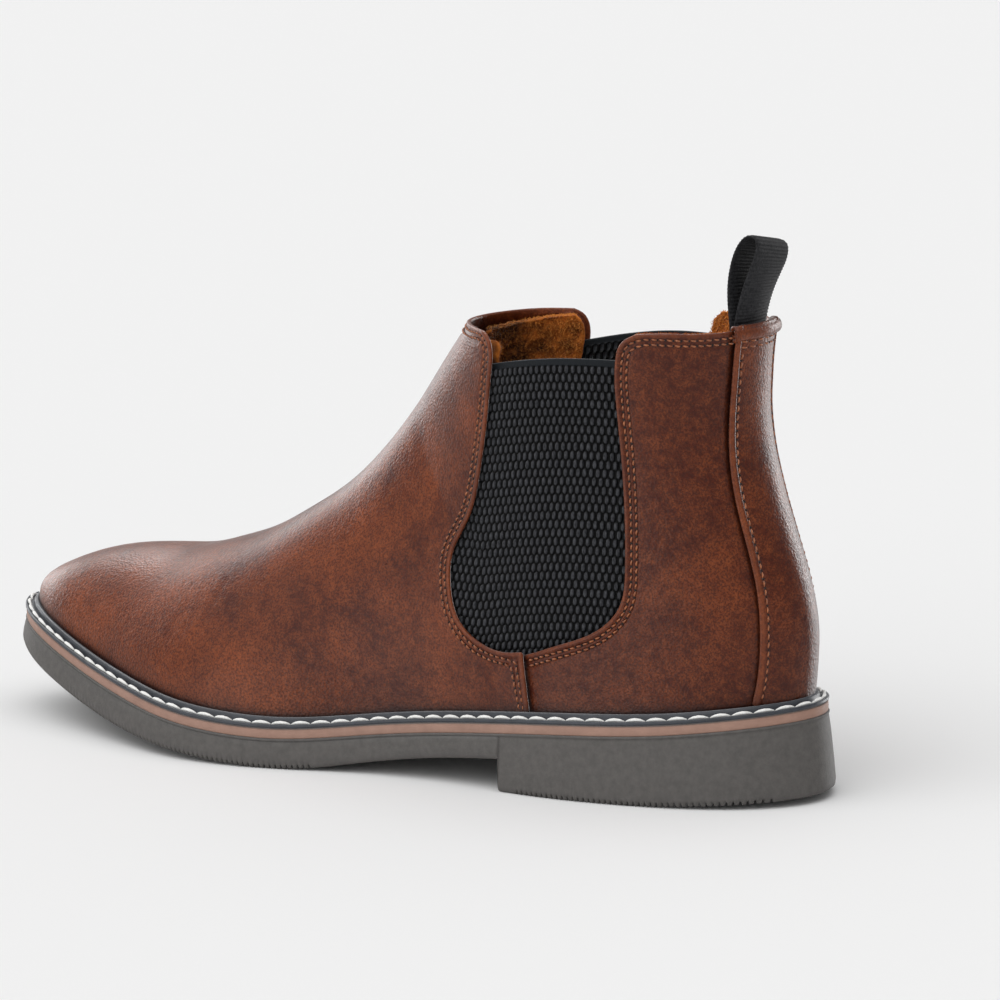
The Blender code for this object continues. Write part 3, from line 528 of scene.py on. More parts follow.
def ridge_up_to(z):
    toe = np.array([FEATHER[OUTER][0, 1], float(feather_z(FEATHER[OUTER][0, 1]))])
    line = smooth_line(RIDGE, even(800))
    line = line[(line[:, 1] > toe[1] + 0.2) & (line[:, 1] < z)]
    return np.vstack([toe, line, [np.interp(z, line[:, 1], line[:, 0]), z]])


def back_up_to(z):
    heel = np.array([FEATHER_HEEL_Y, float(feather_z(FEATHER_HEEL_Y))])
    heights = np.linspace(heel[1], z, 300)[1:]
    return np.vstack([heel, np.stack([read(BACK, heights), heights], -1)])


def inset_line(line, inset):
    """A side view line moved sideways by the inset, to the right of its direction when positive."""
    return line + inset * right_of(unit(np.gradient(line, axis=0)))


def vamp_grid(side, across, up, drop=0.0, inset=0.0):
    """The front panel's side view: toe, instep and the shaft's front leaf, less `drop` off its top."""
    edge = inset_line(smooth_line(VAMP_EDGE, even(500)), -inset)
    top_z = FRONT_TOP[-1][1] - drop - inset
    edge = edge[:int(np.argmax(edge[:, 1] > top_z))]
    spine = ridge_up_to(top_z)
    foot_y = SEAM_FOOT_Y - inset
    edge = edge[edge[:, 0] < foot_y - 2.5]
    seam = np.linspace(edge[0], (foot_y, feather_z(foot_y)), 60)
    foot = np.vstack([seam, feather_line(foot_y, FEATHER[side][0, 1], side)[1:]])
    top = into_spine([edge[-1], (edge[-1] + spine[-1]) / 2 + (0, 0.3), spine[-1]])
    return patch(edge, foot, top, spine, side, across, up)


def quarter_grid(side, across, up, drop=0.0, inset=0.0):
    """The side panel behind the elastic, from the lap under the vamp to the back seam."""
    edge = inset_line(smooth_line(QUARTER_EDGE, even(500)), inset)
    top_z = REAR_TOP[-1][1] - drop - inset
    foot_y = SEAM_FOOT_Y + 2 if drop else TONGUE_FOOT_Y
    edge = edge[(edge[:, 0] > foot_y) & (edge[:, 1] < top_z)]
    spine = back_up_to(top_z)
    lap = np.linspace(edge[0], (foot_y, feather_z(foot_y)), 60)
    foot = np.vstack([lap, feather_line(foot_y, FEATHER_HEEL_Y, side)[1:]])
    top = into_spine([edge[-1], *[(y, z - drop - inset) for y, z in REAR_TOP[1:-1]], spine[-1]])
    return patch(edge, foot, top, spine, side, across, up)


def gore_grid(across, up):
    """The elastic's side view, with the allowance that lies under the leather."""
    front, rear, foot, top = [
        smooth_line(line, even(300)) for line in (GORE_FRONT, GORE_REAR, GORE_FOOT, GORE_TOP)
    ]
    a = np.asarray(across, float)[None, :, None]
    b = np.asarray(up, float)[:, None, None]
    rows = (1 - b) * resample(foot, across)[None] + b * resample(top, across)[None]
    columns = (1 - a) * resample(front, up)[:, None] + a * resample(rear, up)[:, None]
    corners = (1 - b) * ((1 - a) * foot[0] + a * foot[-1]) + b * ((1 - a) * top[0] + a * top[-1])
    return rows + columns - corners


def strip_grid(side, across, up):
    """The back strip's side view on one side, from its edge to the back seam."""
    edge = smooth_line(STRIP_EDGE, up)[:, None]
    spine = np.stack([read(BACK, edge[:, 0, 1]), edge[:, 0, 1]], -1)[:, None]
    towards = np.sin(np.asarray(across) * np.pi / 2)[None, :, None]
    return (1 - towards) * edge + towards * spine


def both_sides(grid, *where):
    """A panel that goes over the spine: its outer side, then its inner side the other way round."""
    outer, inner = [on_upper(grid(side, *where), side) for side in (OUTER, INNER)]
    return np.concatenate([outer, inner[:, ::-1][:, 1:]], axis=1)


def facing(points, side):
    """The outward normal at each point of a grid whose first column is on this side."""
    normal = unit(np.cross(np.gradient(points, axis=1), np.gradient(points, axis=0)))
    return normal if (normal[:, 0, 0] * side).mean() > 0 else -normal


# Meshes

def shown(points):
    """Drawing millimetres to metres in the model's own frame."""
    return (np.asarray(points, float) - np.array(BOX_MIDDLE)) * MM


def volume(points, faces):
    quads = np.array([face for face in faces if len(face) == 4])
    corners = points[quads]
    first = np.einsum("ij,ij->i", corners[:, 0], np.cross(corners[:, 1], corners[:, 2])).sum()
    return first + np.einsum("ij,ij->i", corners[:, 0], np.cross(corners[:, 2], corners[:, 3])).sum()


def grid_faces(rows, columns, start=0, closed=False, ring=False):
    """Faces of a grid of points. The last column joins the first if closed, and the last row if a ring."""
    i = np.arange(rows if ring else rows - 1)[:, None]
    j = np.arange(columns if closed else columns - 1)[None]
    above, beside = (i + 1) % rows * columns, (j + 1) % columns
    quads = np.stack([i * columns + j, i * columns + beside, above + beside, above + j], -1)
    return (quads.reshape(-1, 4) + start).tolist()


def add_piece(name, solid, finishes, slot, nodes, bend, slots=None, **values):
    """One smooth mesh, from points in millimetres and faces, that stands for CAD nodes.

    `values` are numbers per point that its material reads, and `slots` the material of each face.
    """
    points, faces = solid
    if volume(points, faces) < 0:
        faces = [face[::-1] for face in faces]
    mesh = bpy.data.meshes.new(name)
    mesh.from_pydata(shown(points), [], faces)
    for finish in finishes:
        mesh.materials.append(finish)
    if slots is not None:
        mesh.polygons.foreach_set("material_index", np.asarray(slots, np.int32))
    for key, value in values.items():
        attribute = mesh.attributes.new(key, "FLOAT", "POINT")
        attribute.data.foreach_set("value", np.asarray(value, np.float32).ravel())
    mesh.shade_smooth()
    piece = bpy.data.objects.new(name, mesh)
    bpy.context.scene.collection.objects.link(piece)
    bend(piece)
    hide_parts(*nodes)
    return piece


def rim_of(rows, columns):
    """The grid's border as one loop of indices, and each one's neighbour inside the grid."""
    low = [(0, j) for j in range(columns)]
    right = [(i, columns - 1) for i in range(1, rows)]
    high = [(rows - 1, j) for j in range(columns - 2, -1, -1)]
    left = [(i, 0) for i in range(rows - 2, 0, -1)]
    rim = np.array(low + right + high + left)
    within = np.clip(rim, 1, [rows - 2, columns - 2])
    return rim @ [columns, 1], within @ [columns, 1]


def rounded_sheet(points, normals, depth, thick):
    """Points and faces of a sheet with a half-round edge; `depth` is that of its outer face."""
    rows, columns = points.shape[:2]
    count = rows * columns
    depth = np.broadcast_to(depth, (rows, columns))[..., None]
    outer = (points - normals * depth).reshape(-1, 3)
    inner = (points - normals * (depth + thick)).reshape(-1, 3)
    rim, within = rim_of(rows, columns)
    middle = (outer + inner) / 2
    along = unit(np.roll(middle[rim], -1, axis=0) - np.roll(middle[rim], 1, axis=0))
    normal = normals.reshape(-1, 3)[rim]
    away = unit(np.cross(along, normal))
    if np.einsum("ij,ij->i", away, middle[rim] - middle[within]).sum() < 0:
        away = -away
    turns = np.linspace(0, np.pi, EDGE_STEPS + 2)[1:-1]
    loops = [middle[rim] + thick / 2 * (np.cos(turn) * normal + np.sin(turn) * away) for turn in turns]
    solid = np.vstack([outer, inner, *loops])
    faces = grid_faces(rows, columns) + [face[::-1] for face in grid_faces(rows, columns, count)]
    size = len(rim)
    ring = np.arange(size)
    starts = [rim] + [2 * count + i * size + ring for i in range(EDGE_STEPS)] + [rim + count]
    for above, below in zip(starts[:-1], starts[1:]):
        faces += np.stack([np.roll(above, -1), above, below, np.roll(below, -1)], -1).tolist()
    source = np.concatenate([np.arange(count), np.arange(count), *[rim] * EDGE_STEPS])
    return solid, faces, source


def add_sheet(name, points, normals, depth, thick, *made_of, **values):
    """A sheet with a rounded edge. Each of `values` is given on the grid."""
    *solid, source = rounded_sheet(points, normals, depth, thick)
    values = {key: np.asarray(value).ravel()[source] for key, value in values.items()}
    return add_piece(name, solid, *made_of, **values)


def loft(slices):
    """Points and faces of a solid through closed slices. A slice's second half runs back beside its first."""
    rows, count = slices.shape[:2]
    faces = grid_faces(rows, count, closed=True)
    for start in (0, (rows - 1) * count):
        for k in range(count // 2 - 1):
            rung = [start + k, start + k + 1, start + count - 2 - k, start + count - 1 - k]
            faces.append(rung[::-1] if start == 0 else rung)
    return slices.reshape(-1, 3), faces


def joined(parts):
    """Several (points, faces) as one."""
    points, faces, start = [], [], 0
    for more, theirs in parts:
        points.append(more)
        faces += [[corner + start for corner in face] for face in theirs]
        start += len(more)
    return np.vstack(points), faces


def waves(points, size, seed):
    """Smooth noise from -1 to 1 over points in millimetres, with bumps about `size` across."""
    rng = np.random.default_rng(seed)
    total = np.zeros(points.shape[:-1])
    for _ in range(NOISE_WAVES):
        direction = unit(rng.normal(size=3)) * 2 * np.pi / (size * rng.uniform(0.7, 1.6))
        total += np.sin(points @ direction + rng.uniform(0, 2 * np.pi))
    return total / math.sqrt(NOISE_WAVES)


def distance_to(line, places):
    """How far each place of the side view is from a line."""
    flat = places.reshape(-1, 2)
    start, span = line[:-1], np.diff(line, axis=0)
    size = np.maximum((span**2).sum(axis=1), 1e-12)
    nearest = np.full(len(flat), np.inf)
    for i in range(len(start)):
        share = np.clip(((flat - start[i]) @ span[i]) / size[i], 0, 1)
        gap = np.linalg.norm(flat - start[i] - share[:, None] * span[i], axis=1)
        nearest = np.minimum(nearest, gap)
    return nearest.reshape(places.shape[:-1])


# Where pieces lie: kept on the boot's body, or baked in place where the boot bends

def stays(piece):
    """It lies behind the ball and in front of the ankle, where nothing bends."""
    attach(piece, "boot")


def bends_at_ball(piece):
    """Bakes the piece's place into its mesh: it lies on the forefoot, which turns up about the ball of the
    foot.
    """
    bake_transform(piece)


def bends_at_ankle(piece):
    """Bakes the piece's place into its mesh: it lies on the back of the shaft, which leans away as the
    opening is pulled wider.
    """
    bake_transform(piece)


def bends_at_topline(piece):
    """Bakes the piece's place into its mesh: it is the webbing loop, which folds down about the back of the
    topline.
    """
    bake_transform(piece)


# Sole

def sole_layer(y, insets, heights):
    """A layer of the sole: its wall is drawn by insets and by heights at each station, from the foot up."""
    insets = np.broadcast_to(insets, heights.shape)[..., None]
    edges = [between(y, half[:, 1], half) for half in halves(np.hstack([RING, INWARDS]))]
    places = [edge[:, None, :2] + edge[:, None, 2:] * insets for edge in edges]
    outer, inner = [np.concatenate([place, heights[..., None]], axis=2) for place in places]
    return loft(np.concatenate([outer, inner[:, ::-1]], axis=1))


def crowd_ends(low, high, count):
    """Places from low to high that lie closer together at both ends."""
    return low + (high - low) * (1 - np.cos(np.pi * even(count))) / 2


def stations(count):
    """Places along the sole at which its layers are cut."""
    return crowd_ends(RING[:, 1].min() + TIP, RING[:, 1].max() - TIP, count)


def tread_stations():
    """(y, groove depth) along the outsole, with each groove's two walls and the heel's breast."""
    rows = [(y, 0.0) for y in stations(220)]
    for low, high in (HEEL_TREAD, FOREPART_TREAD):
        grooves = np.arange(low, high, TREAD_PITCH)
        rows = [row for row in rows if not low - 0.3 < row[0] < grooves[-1] + TREAD_PITCH]
        for start in grooves:
            end = start + TREAD_WIDTH
            rows += [(start, 0.0), (start + 0.15, 1.0), (end - 0.15, 1.0), (end, 0.0)]
    rows = [row for row in rows if abs(row[0] - HEEL_BREAST) > 0.8]
    rows += [(HEEL_BREAST - 0.02, 0.0), (HEEL_BREAST, 0.0)]
    return np.array(sorted(rows)).T


def make_outsole():
    y, groove = tread_stations()
    heel_lift = 2 * HEEL_LIFT * ease(HEEL_LIFT_FROM, 2 * RING[:, 1].max() - HEEL_LIFT_FROM, y)
    under = np.where(y >= HEEL_BREAST, heel_lift, read(SOLE_UNDER, y))
    top = read(SOLE_TOP, y)
    insets, shares, rises = np.array(OUTSOLE_WALL).T
    flare = (HEEL_FLARE * ease(30, 130, y) + TOE_FLARE * (1 - ease(-135, -70, y)))[:, None]
    insets = insets - flare * (1 - shares)
    heights = under[:, None] + (top - under)[:, None] * shares + rises
    heights[:, :len(TREAD_CUT)] += (groove * TREAD_DEPTH)[:, None] * TREAD_CUT
    solid = sole_layer(y, insets, heights)
    add_piece("outsole_rubber", solid, [plain("rubber")], "rubber", ["outsole"], bends_at_ball)


def make_midsole():
    y = stations(240)
    insets, rises = np.array(MIDSOLE_WALL).T
    solid = sole_layer(y, insets, read(SOLE_TOP, y)[:, None] + rises)
    add_piece("midsole_band", solid, [plain("midsole_board")], "midsole", ["midsole"], bends_at_ball)


def ring_at(inset, height):
    ring = RING + inset * INWARDS
    return np.column_stack([ring, read(SOLE_TOP, ring[:, 1]) + height])


def make_welt():
    """The storm welt: an outer rim, a groove for the stitching and an upstand against the upper."""
    rings = np.stack([ring_at(inset, WELT_BASE + rise) for inset, rise in WELT_SECTION], 1)
    solid = rings.reshape(-1, 3), grid_faces(*rings.shape[:2], closed=True, ring=True)
    add_piece("welt_strip", solid, [plain("welt_leather")], "welt", ["welt"], bends_at_ball)


def make_welt_stitches():
    path = ring_at(WELT_ROW, WELT_BASE + WELT_ROW_HIGH)
    path = np.vstack([path, path[:1]])
    up = np.tile((0.0, 0.0, 1.0), (len(path), 1))
    solid = stitches(path, up, WELT_PITCH, WELT_THREAD, WELT_SHARE, WELT_RISE, bow=WELT_BOW)
    thread = plain("white_thread")
    add_piece("welt_stitches", solid, [thread], "white_thread", ["welt_stitch"], bends_at_ball)


def plate(inset, reach, bottom, thick):
    """A board inside the boot from its toe to `reach`, which follows the sole's curve, with a crowned top."""
    outer, inner = halves(RING + inset * INWARDS)
    y = crowd_ends(outer[0, 1] + PLATE_END, min(reach, outer[-1, 1] - PLATE_END), 120)
    base = read(SOLE_TOP, y) + bottom
    x = [np.interp(y, half[:, 1], half[:, 0]) for half in (outer, inner)]
    shares = even(9)[::-1]
    crown = 1 - 0.4 * (2 * shares - 1) ** 6
    upper = [(x[0] * s + x[1] * (1 - s), y, base + thick * rise) for s, rise in zip(shares, crown)]
    lower = [(x[0] * s + x[1] * (1 - s), y, base) for s in shares[::-1]]
    return loft(np.stack([np.stack(column, -1) for column in upper + lower], 1))


def make_insides():
    """The boards between the foot and the sole, and the padded sock over them."""
    y = RING[:, 1]
    board_inset = (INSOLE_INSET + 3.0 * (1 - ease(-150, -120, y)))[:, None]
    sock_inset = (SOCK_INSET + 6.0 * (1 - ease(-150, -105, y)))[:, None]
    bottom = MIDSOLE_THICK + 3 * GAP
    for name, finish, slot, node, inset, reach, thick in (
        ("cork_filler", "cork", "cork", "bottom_filler", 17.0, -14, FILLER_THICK),
        ("insole_fibreboard", "fibreboard", "board", "insole_board", board_inset, 200, INSOLE_THICK),
        ("sock_cushion", "sock_fabric", "sock", "sock_liner", sock_inset, 200, SOCK_THICK),
    ):
        solid = plate(inset, reach, bottom, thick)
        piece = add_piece(name, solid, [plain(finish)], slot, [node], bends_at_ball)
        bottom += thick + GAP


# Stitching

def stitches(path, normals, pitch, radius, share, rise, bow=0.0, slant=0.0, shift=0.0):
    """Separate stitches along a path. Each swells in the middle and dips into its needle holes."""
    run = lengths(path)
    count = int(run[-1] / pitch + 0.01)
    pitch = run[-1] / count
    centres = pitch * (np.arange(count - (shift > 0)) + 0.5 + shift)
    t = np.sin(np.pi * (even(STITCH_RINGS) - 0.5))
    at = centres[:, None] + t * share * pitch / 2
    middle = between(at, run, path)
    lift = unit(between(at, run, normals))
    ahead = unit(np.gradient(middle, axis=1))
    aside = unit(np.cross(ahead, lift))
    hump = (1 - t**2)[None, :, None]
    middle = middle + lift * rise * hump + aside * (bow * hump + slant * t[None, :, None])
    thick = radius * np.sqrt(1.02 - t**2)[None, :, None, None]
    turns = np.arange(STITCH_SIDES) * 2 * np.pi / STITCH_SIDES
    ring = aside[:, :, None] * np.cos(turns)[:, None] + lift[:, :, None] * np.sin(turns)[:, None]
    points = (middle[:, :, None] + thick * ring).reshape(-1, 3)
    size = STITCH_RINGS * STITCH_SIDES
    one = grid_faces(STITCH_RINGS, STITCH_SIDES, closed=True)
    caps = [list(range(STITCH_SIDES))[::-1], [size - STITCH_SIDES + j for j in range(STITCH_SIDES)]]
    faces = [[corner + i * size for corner in face] for i in range(len(centres)) for face in one + caps]
    return points, faces


def row_on_upper(side_views, depth_at):
    """Where stitches lie and which way they face: `side_views` pairs each side of the boot with its line."""
    rows = []
    for side, line in side_views:
        points = on_upper(line, side)
        along, rise = [on_upper(line + step, side) - points for step in ((0.3, 0.0), (0.0, 0.3))]
        normal = unit(np.cross(along, rise))
        normal *= np.where(normal[:, 0] * side < 0, -1, 1)[:, None]
        rows.append(np.hstack([points - normal * depth_at(points)[:, None], normal]))
    return np.vstack(rows)


def stitch_rows(name, rows, node, bend, pitch=PITCH):
    """Rows of stitches with painted shade for their needle holes, each row given as places and the way they
    face.
    """
    threads, holes = [], []
    for row in rows:
        row = resample(row, even(900))
        path, normals = row[:, :3], unit(row[:, 3:])
        threads.append(stitches(path, normals, pitch, THREAD_RADIUS, THREAD_SHARE, THREAD_RISE, slant=SLANT))
        # The needle holes are near-black blobs just below the row: painted shade, not holes.
        path = path - normals * HOLE_SINK
        holes.append(stitches(path, normals, pitch, HOLE_RADIUS, HOLE_SHARE, 0.0, shift=0.5))
    slots = np.repeat([0, 1], [sum(len(faces) for points, faces in made) for made in (threads, holes)])
    finishes = [plain("brown_thread"), plain("needle_hole_shade")]
    add_piece(name, joined(threads + holes), finishes, "thread", [node], bend, slots)


# Upper

def crowded(near, far, share):
    """Shares from 0 to 1, of which `near` places lie below `share`."""
    return np.concatenate([np.linspace(0, share, near, endpoint=False), np.linspace(share, 1, far)])


def hem(distance, rows=STITCH_ROWS):
    """How deep the leather lies by its distance from a turned edge: a bead, then a dip at each stitch row."""
    bead = BEAD * np.exp(-((distance - 0.8) / 0.8) ** 2)
    return sum(DIP * np.exp(-((distance - row) / 0.5) ** 2) for row in rows) - bead


def above_welt(points):
    return points[..., 2] - feather_z(points[..., 1])


def shades(points, edge_gap, shadow):
    """What the leather's colour follows: a painted highlight along the turned edges, and painted shade by the
    welt and beside the overlaps.
    """
    foot = np.exp(-np.maximum(above_welt(points) - PAINTED_SHADE_FROM, 0) / PAINTED_SHADE_FADE)
    painted_edge_highlight = np.exp(-(((edge_gap - EDGE_HIGHLIGHT_AT) / EDGE_HIGHLIGHT_WIDE) ** 2))
    return {"painted_edge_highlight": painted_edge_highlight, "painted_shade": np.clip(np.maximum(foot, shadow), 0, 1)}


def vamp_rise(points):
    """1 where the vamp lies over the quarter at the short seam, easing to 0 round about."""
    return ease(52, 61, points[..., 1]) * (1 - ease(47, 56, points[..., 2]))


def quarter_sink(points):
    """1 where the quarter lies under the vamp, easing to 0 behind the seam."""
    return (1 - ease(72, 79, points[..., 1])) * (1 - ease(47, 56, points[..., 2]))


def vamp_border():
    seam = [(SEAM_FOOT_Y, feather_z(SEAM_FOOT_Y) - 4)]
    return np.vstack([seam, smooth_line(VAMP_EDGE, even(120)), FRONT_TOP[1:], [(20, 144.6)]])


def quarter_border():
    return np.vstack([smooth_line(QUARTER_EDGE, even(120)), REAR_TOP[1:], [(160, 148.3)]])


def creases(places):
    """Fine creases over the ball of the foot, drawn in the side view, each with a swelling beside it."""
    depth = np.zeros(places.shape[:-1])
    for knots, deep, width in CREASES:
        gap = distance_to(smooth_line(knots, even(24)), places) / width
        depth += deep * (np.exp(-(gap**2)) - 0.45 * np.exp(-(((gap - 2) / 1.4) ** 2)))
    return depth


def make_vamp():
    points = both_sides(vamp_grid, crowded(26, 92, 0.06), even(150) ** 1.5, 0.0, EDGE_INSET)
    gap = distance_to(vamp_border(), points[..., 1:])
    depth = hem(gap) + creases(points[..., 1:]) + SWELL * waves(points, 34, 3) * ease(0, 12, gap)
    depth -= LAP_STEP * vamp_rise(points)
    add_sheet("vamp_leather", points, facing(points, OUTER), depth, LEATHER_THICK, [leather()], "leather",
              ["vamp"], bends_at_ball, **shades(points, gap, 0))


def make_vamp_stitches():
    for number, inset in enumerate(STITCH_ROWS, 1):
        edge = inset_line(smooth_line(VAMP_EDGE[1:] + FRONT_TOP[1:2], even(200)), -inset)
        ridge = ridge_up_to(edge[-1, 1])
        foot = (SEAM_FOOT_Y - inset, feather_z(SEAM_FOOT_Y) + SEAM_ROW_FOOT)
        seam = smooth_line([foot, (SEAM_HEAD[0] - inset, SEAM_HEAD[1] - inset - 1.5)], even(20))
        row = np.vstack([seam, edge, into_spine([edge[-1], ridge[-1]], 40)[1:]])
        row = row_on_upper([(OUTER, row), (INNER, row[::-1][1:])],
                           lambda at: DIP - THREAD_SINK - LAP_STEP * vamp_rise(at))
        stitch_rows(f"vamp_stitches_{number}", [row], f"vamp_thread_{number}", stays)


def make_quarters():
    """The two side panels. Their normals are worked out together, so that they agree at the back seam."""
    across = crowded(26, 84, 0.12)
    up = even(130) ** 1.2
    strip_edge = smooth_line(STRIP_EDGE, even(80))
    seam = np.array([(SEAM_FOOT_Y, feather_z(SEAM_FOOT_Y) - 4), SEAM_HEAD])
    normals = facing(both_sides(quarter_grid, across, up, 0.0, EDGE_INSET), OUTER)
    count = len(across)
    for name, part in (("outer", slice(0, count)), ("inner", slice(None, count - 2, -1))):
        side_view = quarter_grid(SIDES[name], across, up, 0.0, EDGE_INSET)
        points = on_upper(side_view, SIDES[name])
        gap = distance_to(quarter_border(), side_view)
        beside_strip = np.exp(-((distance_to(strip_edge, side_view) / 0.9) ** 2))
        beside_vamp = np.exp(-((distance_to(seam, side_view) / 1.1) ** 2))
        depth = hem(gap) + SWELL * waves(points, 40, 11) * ease(0, 12, gap)
        depth += LAP_STEP * quarter_sink(points) + SEAM_GROOVE * (beside_strip + beside_vamp)
        # The quarter gets painted shade where the strip and the vamp lie over it.
        add_sheet(f"quarter_leather_{name}", points, normals[:, part], depth, LEATHER_THICK, [leather()],
                  "leather", [f"quarter_{name}"], bends_at_ankle,
                  **shades(points, gap, np.maximum(beside_strip, beside_vamp)))


def make_quarter_stitches():
    strip = smooth_line(STRIP_EDGE, even(200))
    for number, inset in enumerate(STITCH_ROWS, 1):
        row = inset_line(smooth_line(QUARTER_EDGE[1:] + REAR_TOP[1:], even(600)), inset)
        behind = row[:, 0] > np.interp(row[:, 1], strip[:, 1], strip[:, 0]) - 0.1
        row = row[(row[:, 0] > SEAM_HEAD[0] + 1.6) & ~(behind & (row[:, 1] > 100))]
        for name, side in SIDES.items():
            places = row_on_upper([(side, row)], lambda at: DIP - THREAD_SINK + LAP_STEP * quarter_sink(at))
            node = f"quarter_thread_{name}_{number}"
            stitch_rows(f"quarter_stitches_{name}_{number}", [places], node, bends_at_ankle)


def roll_slices(path, normals):
    """The strip's top end, curled over the topline: a spiral of leather at each point of the path."""
    ahead = unit(np.gradient(path, axis=0))
    path = np.vstack([path[:1] - ahead[:1] * ROLL_PAST, path[1:-1], path[-1:] + ahead[-1:] * ROLL_PAST])
    turns = np.radians(np.linspace(*ROLL_TURNS, 40))
    outer = np.stack([np.cos(turns) * ROLL_WIDE, np.sin(turns) * ROLL_HIGH], -1)
    outer *= np.linspace(1, ROLL_CORE, 40)[:, None]
    section = np.vstack([outer, (outer - ROLL_THICK * unit(outer))[::-1]])
    middle = path - normals * ROLL_DEPTH + (0, 0, ROLL_DROP)
    run = lengths(path)
    from_end = np.minimum(run, run[-1] - run)
    size = (1 + ROLL_FLARE * np.exp(-((from_end / 2.0) ** 2)))[:, None]
    slices = middle[:, None] + normals[:, None] * (size * section[:, 0])[..., None]
    slices[..., 2] += size * section[:, 1]
    return slices


def strip_surface():
    """The outside of the back strip, in even steps over the back seam and smoothed along it."""
    across = crowded(22, 30, 0.3) / 2
    grid = both_sides(strip_grid, even(90), np.linspace(0.012, 1, 130))
    grid = np.stack([resample(row, np.concatenate([across, 1 - across[::-1][1:]])) for row in grid])
    middle = slice(len(across) - 16, len(across) + 15)
    for _ in range(SPINE_SMOOTH):
        grid[:, middle] += (np.roll(grid, 1, axis=1) + np.roll(grid, -1, axis=1) - 2 * grid)[:, middle] / 4
    return grid


def make_back_strip():
    """The narrow panel over the back seam, turned over the topline in a roll."""
    grid = strip_surface()
    normals = facing(grid, OUTER)
    edge_run = lengths(grid[len(grid) // 2])
    gap = np.broadcast_to(np.minimum(edge_run, edge_run[-1] - edge_run), grid.shape[:2])
    depth = STRIP_PLY[0] + hem(gap, STRIP_ROWS) + 0.06 * waves(grid, 22, 5)
    *strip, source = rounded_sheet(grid, normals, depth, STRIP_PLY[1] - STRIP_PLY[0])
    roll = loft(roll_slices(grid[-1], normals[-1]))
    # The roll is painted with a highlight all over (0.45) and gets no painted shade.
    values = {
        key: np.concatenate([value.ravel()[source], np.full(len(roll[0]), on_roll)])
        for (key, value), on_roll in zip(shades(grid, gap, 0).items(), (0.45, 0.0))
    }
    solid = joined([strip, roll])
    add_piece("back_strip_leather", solid, [leather()], "leather", ["back_strip"], bends_at_ankle, **values)


def make_strip_stitches():
    """A row inside each edge of the strip, and two short rows that cross it below its roll."""
    up = np.linspace(*STRIP_ROW_REACH, 240)
    for name, side in SIDES.items():
        grid = on_upper(strip_grid(side, even(60), up), side)
        grid = np.concatenate([grid, facing(grid, side)], axis=2)
        row = np.array([between(STRIP_ROWS[0], lengths(line[:, :3]), line) for line in grid])
        rows = [row[:-CROSS_ROW_STEP - 3], grid[-1, 4:], grid[-1 - CROSS_ROW_STEP, 4:]]
        for places in rows:
            places[:, :3] -= places[:, 3:] * (STRIP_PLY[0] + DIP - THREAD_SINK)
        stitch_rows(f"strip_stitches_{name}", rows, f"strip_thread_{name}", bends_at_ankle, STRIP_PITCH)


# Elastic

def knots(across, down):
    """The elastic's raised knots, from 0 to 1: staggered ovals, by places in millimetres."""
    row = np.floor(down / KNOT_ROW)
    raised = np.zeros(across.shape)
    for near in (-1, 0, 1):
        shift = 0.5 * ((row + near) % 2)
        aside = np.abs(np.mod(across / KNOT_COLUMN + shift, 1) - 0.5) / KNOT_HALF[0]
        along = np.abs(down / KNOT_ROW - (row + near) - 0.5) / KNOT_HALF[1]
        raised = np.maximum(raised, np.sqrt(np.maximum(1 - aside**2.6 - along**2.6, 0)))
    return raised


def make_gores():
    """The elastic side panels: staggered knots below a plain edge, and flat where they are sewn in."""
    across = even(300)
    up = even(400)
    side_view = gore_grid(across, up)
    sewn_in = ease(0, 0.05, np.minimum(across, 1 - across)) * ease(0, 0.03, up)[:, None]
    top = smooth_line(GORE_TOP, even(200))
    down = np.interp(side_view[..., 0], top[:, 0], top[:, 1]) - side_view[..., 1]
    body = ease(PLAIN_EDGE, PLAIN_EDGE + 0.35, down)
    raised = knots(side_view[..., 0] + KNOT_LEAN * down, down - PLAIN_EDGE) * body
    height = np.maximum(raised, 0.55 * (1 - body)) * sewn_in
    depth = GORE_PLY[0] + 0.15 - KNOT_HIGH * height
    for name, side in SIDES.items():
        points = on_upper(side_view, side)
        normals = facing(points, side)
        normals *= np.sign(normals[..., :1] * side)
        add_sheet(f"gore_elastic_{name}", points, normals, depth, GORE_THICK, [elastic()], "elastic",
                  [f"gore_{name}"], bends_at_ankle, knot=height, hem=1 - body)


# Lining and what lies under the leather

def tufts(points, normals, count, seed, size):
    """Short bent blades of pile on a surface given as a grid, as (points, faces)."""
    rng = np.random.default_rng(seed)
    rows, columns = points.shape[:2]
    i = rng.integers(0, rows - 1, count)
    j = rng.integers(0, columns - 1, count)
    share = rng.random((2, count, 1))
    root = points[i, j] * (1 - share[0]) + points[i + 1, j] * share[0]
    root = root + (points[i, j + 1] - points[i, j]) * share[1]
    lift = normals[i, j]
    lean = unit(np.cross(lift, rng.normal(size=(count, 3))))
    aside = np.cross(lift, lean)
    tall = size * rng.uniform(0.6, 1.2, (count, 1))
    aside *= BLADE_HALF_WIDTH
    base = [root - aside, root + aside]
    bend = root + lift * 0.6 * tall + lean * 0.35 * tall
    knee = [bend + aside * 0.8, bend - aside * 0.8]
    tip = [root + lift * 0.85 * tall + lean * 0.95 * tall]
    blades = np.stack(base + knee + tip, 1).reshape(-1, 3)
    at = 5 * np.arange(count)[:, None]
    faces = (at + [0, 1, 2, 3]).tolist() + (at + [3, 2, 4]).tolist()
    return blades, faces


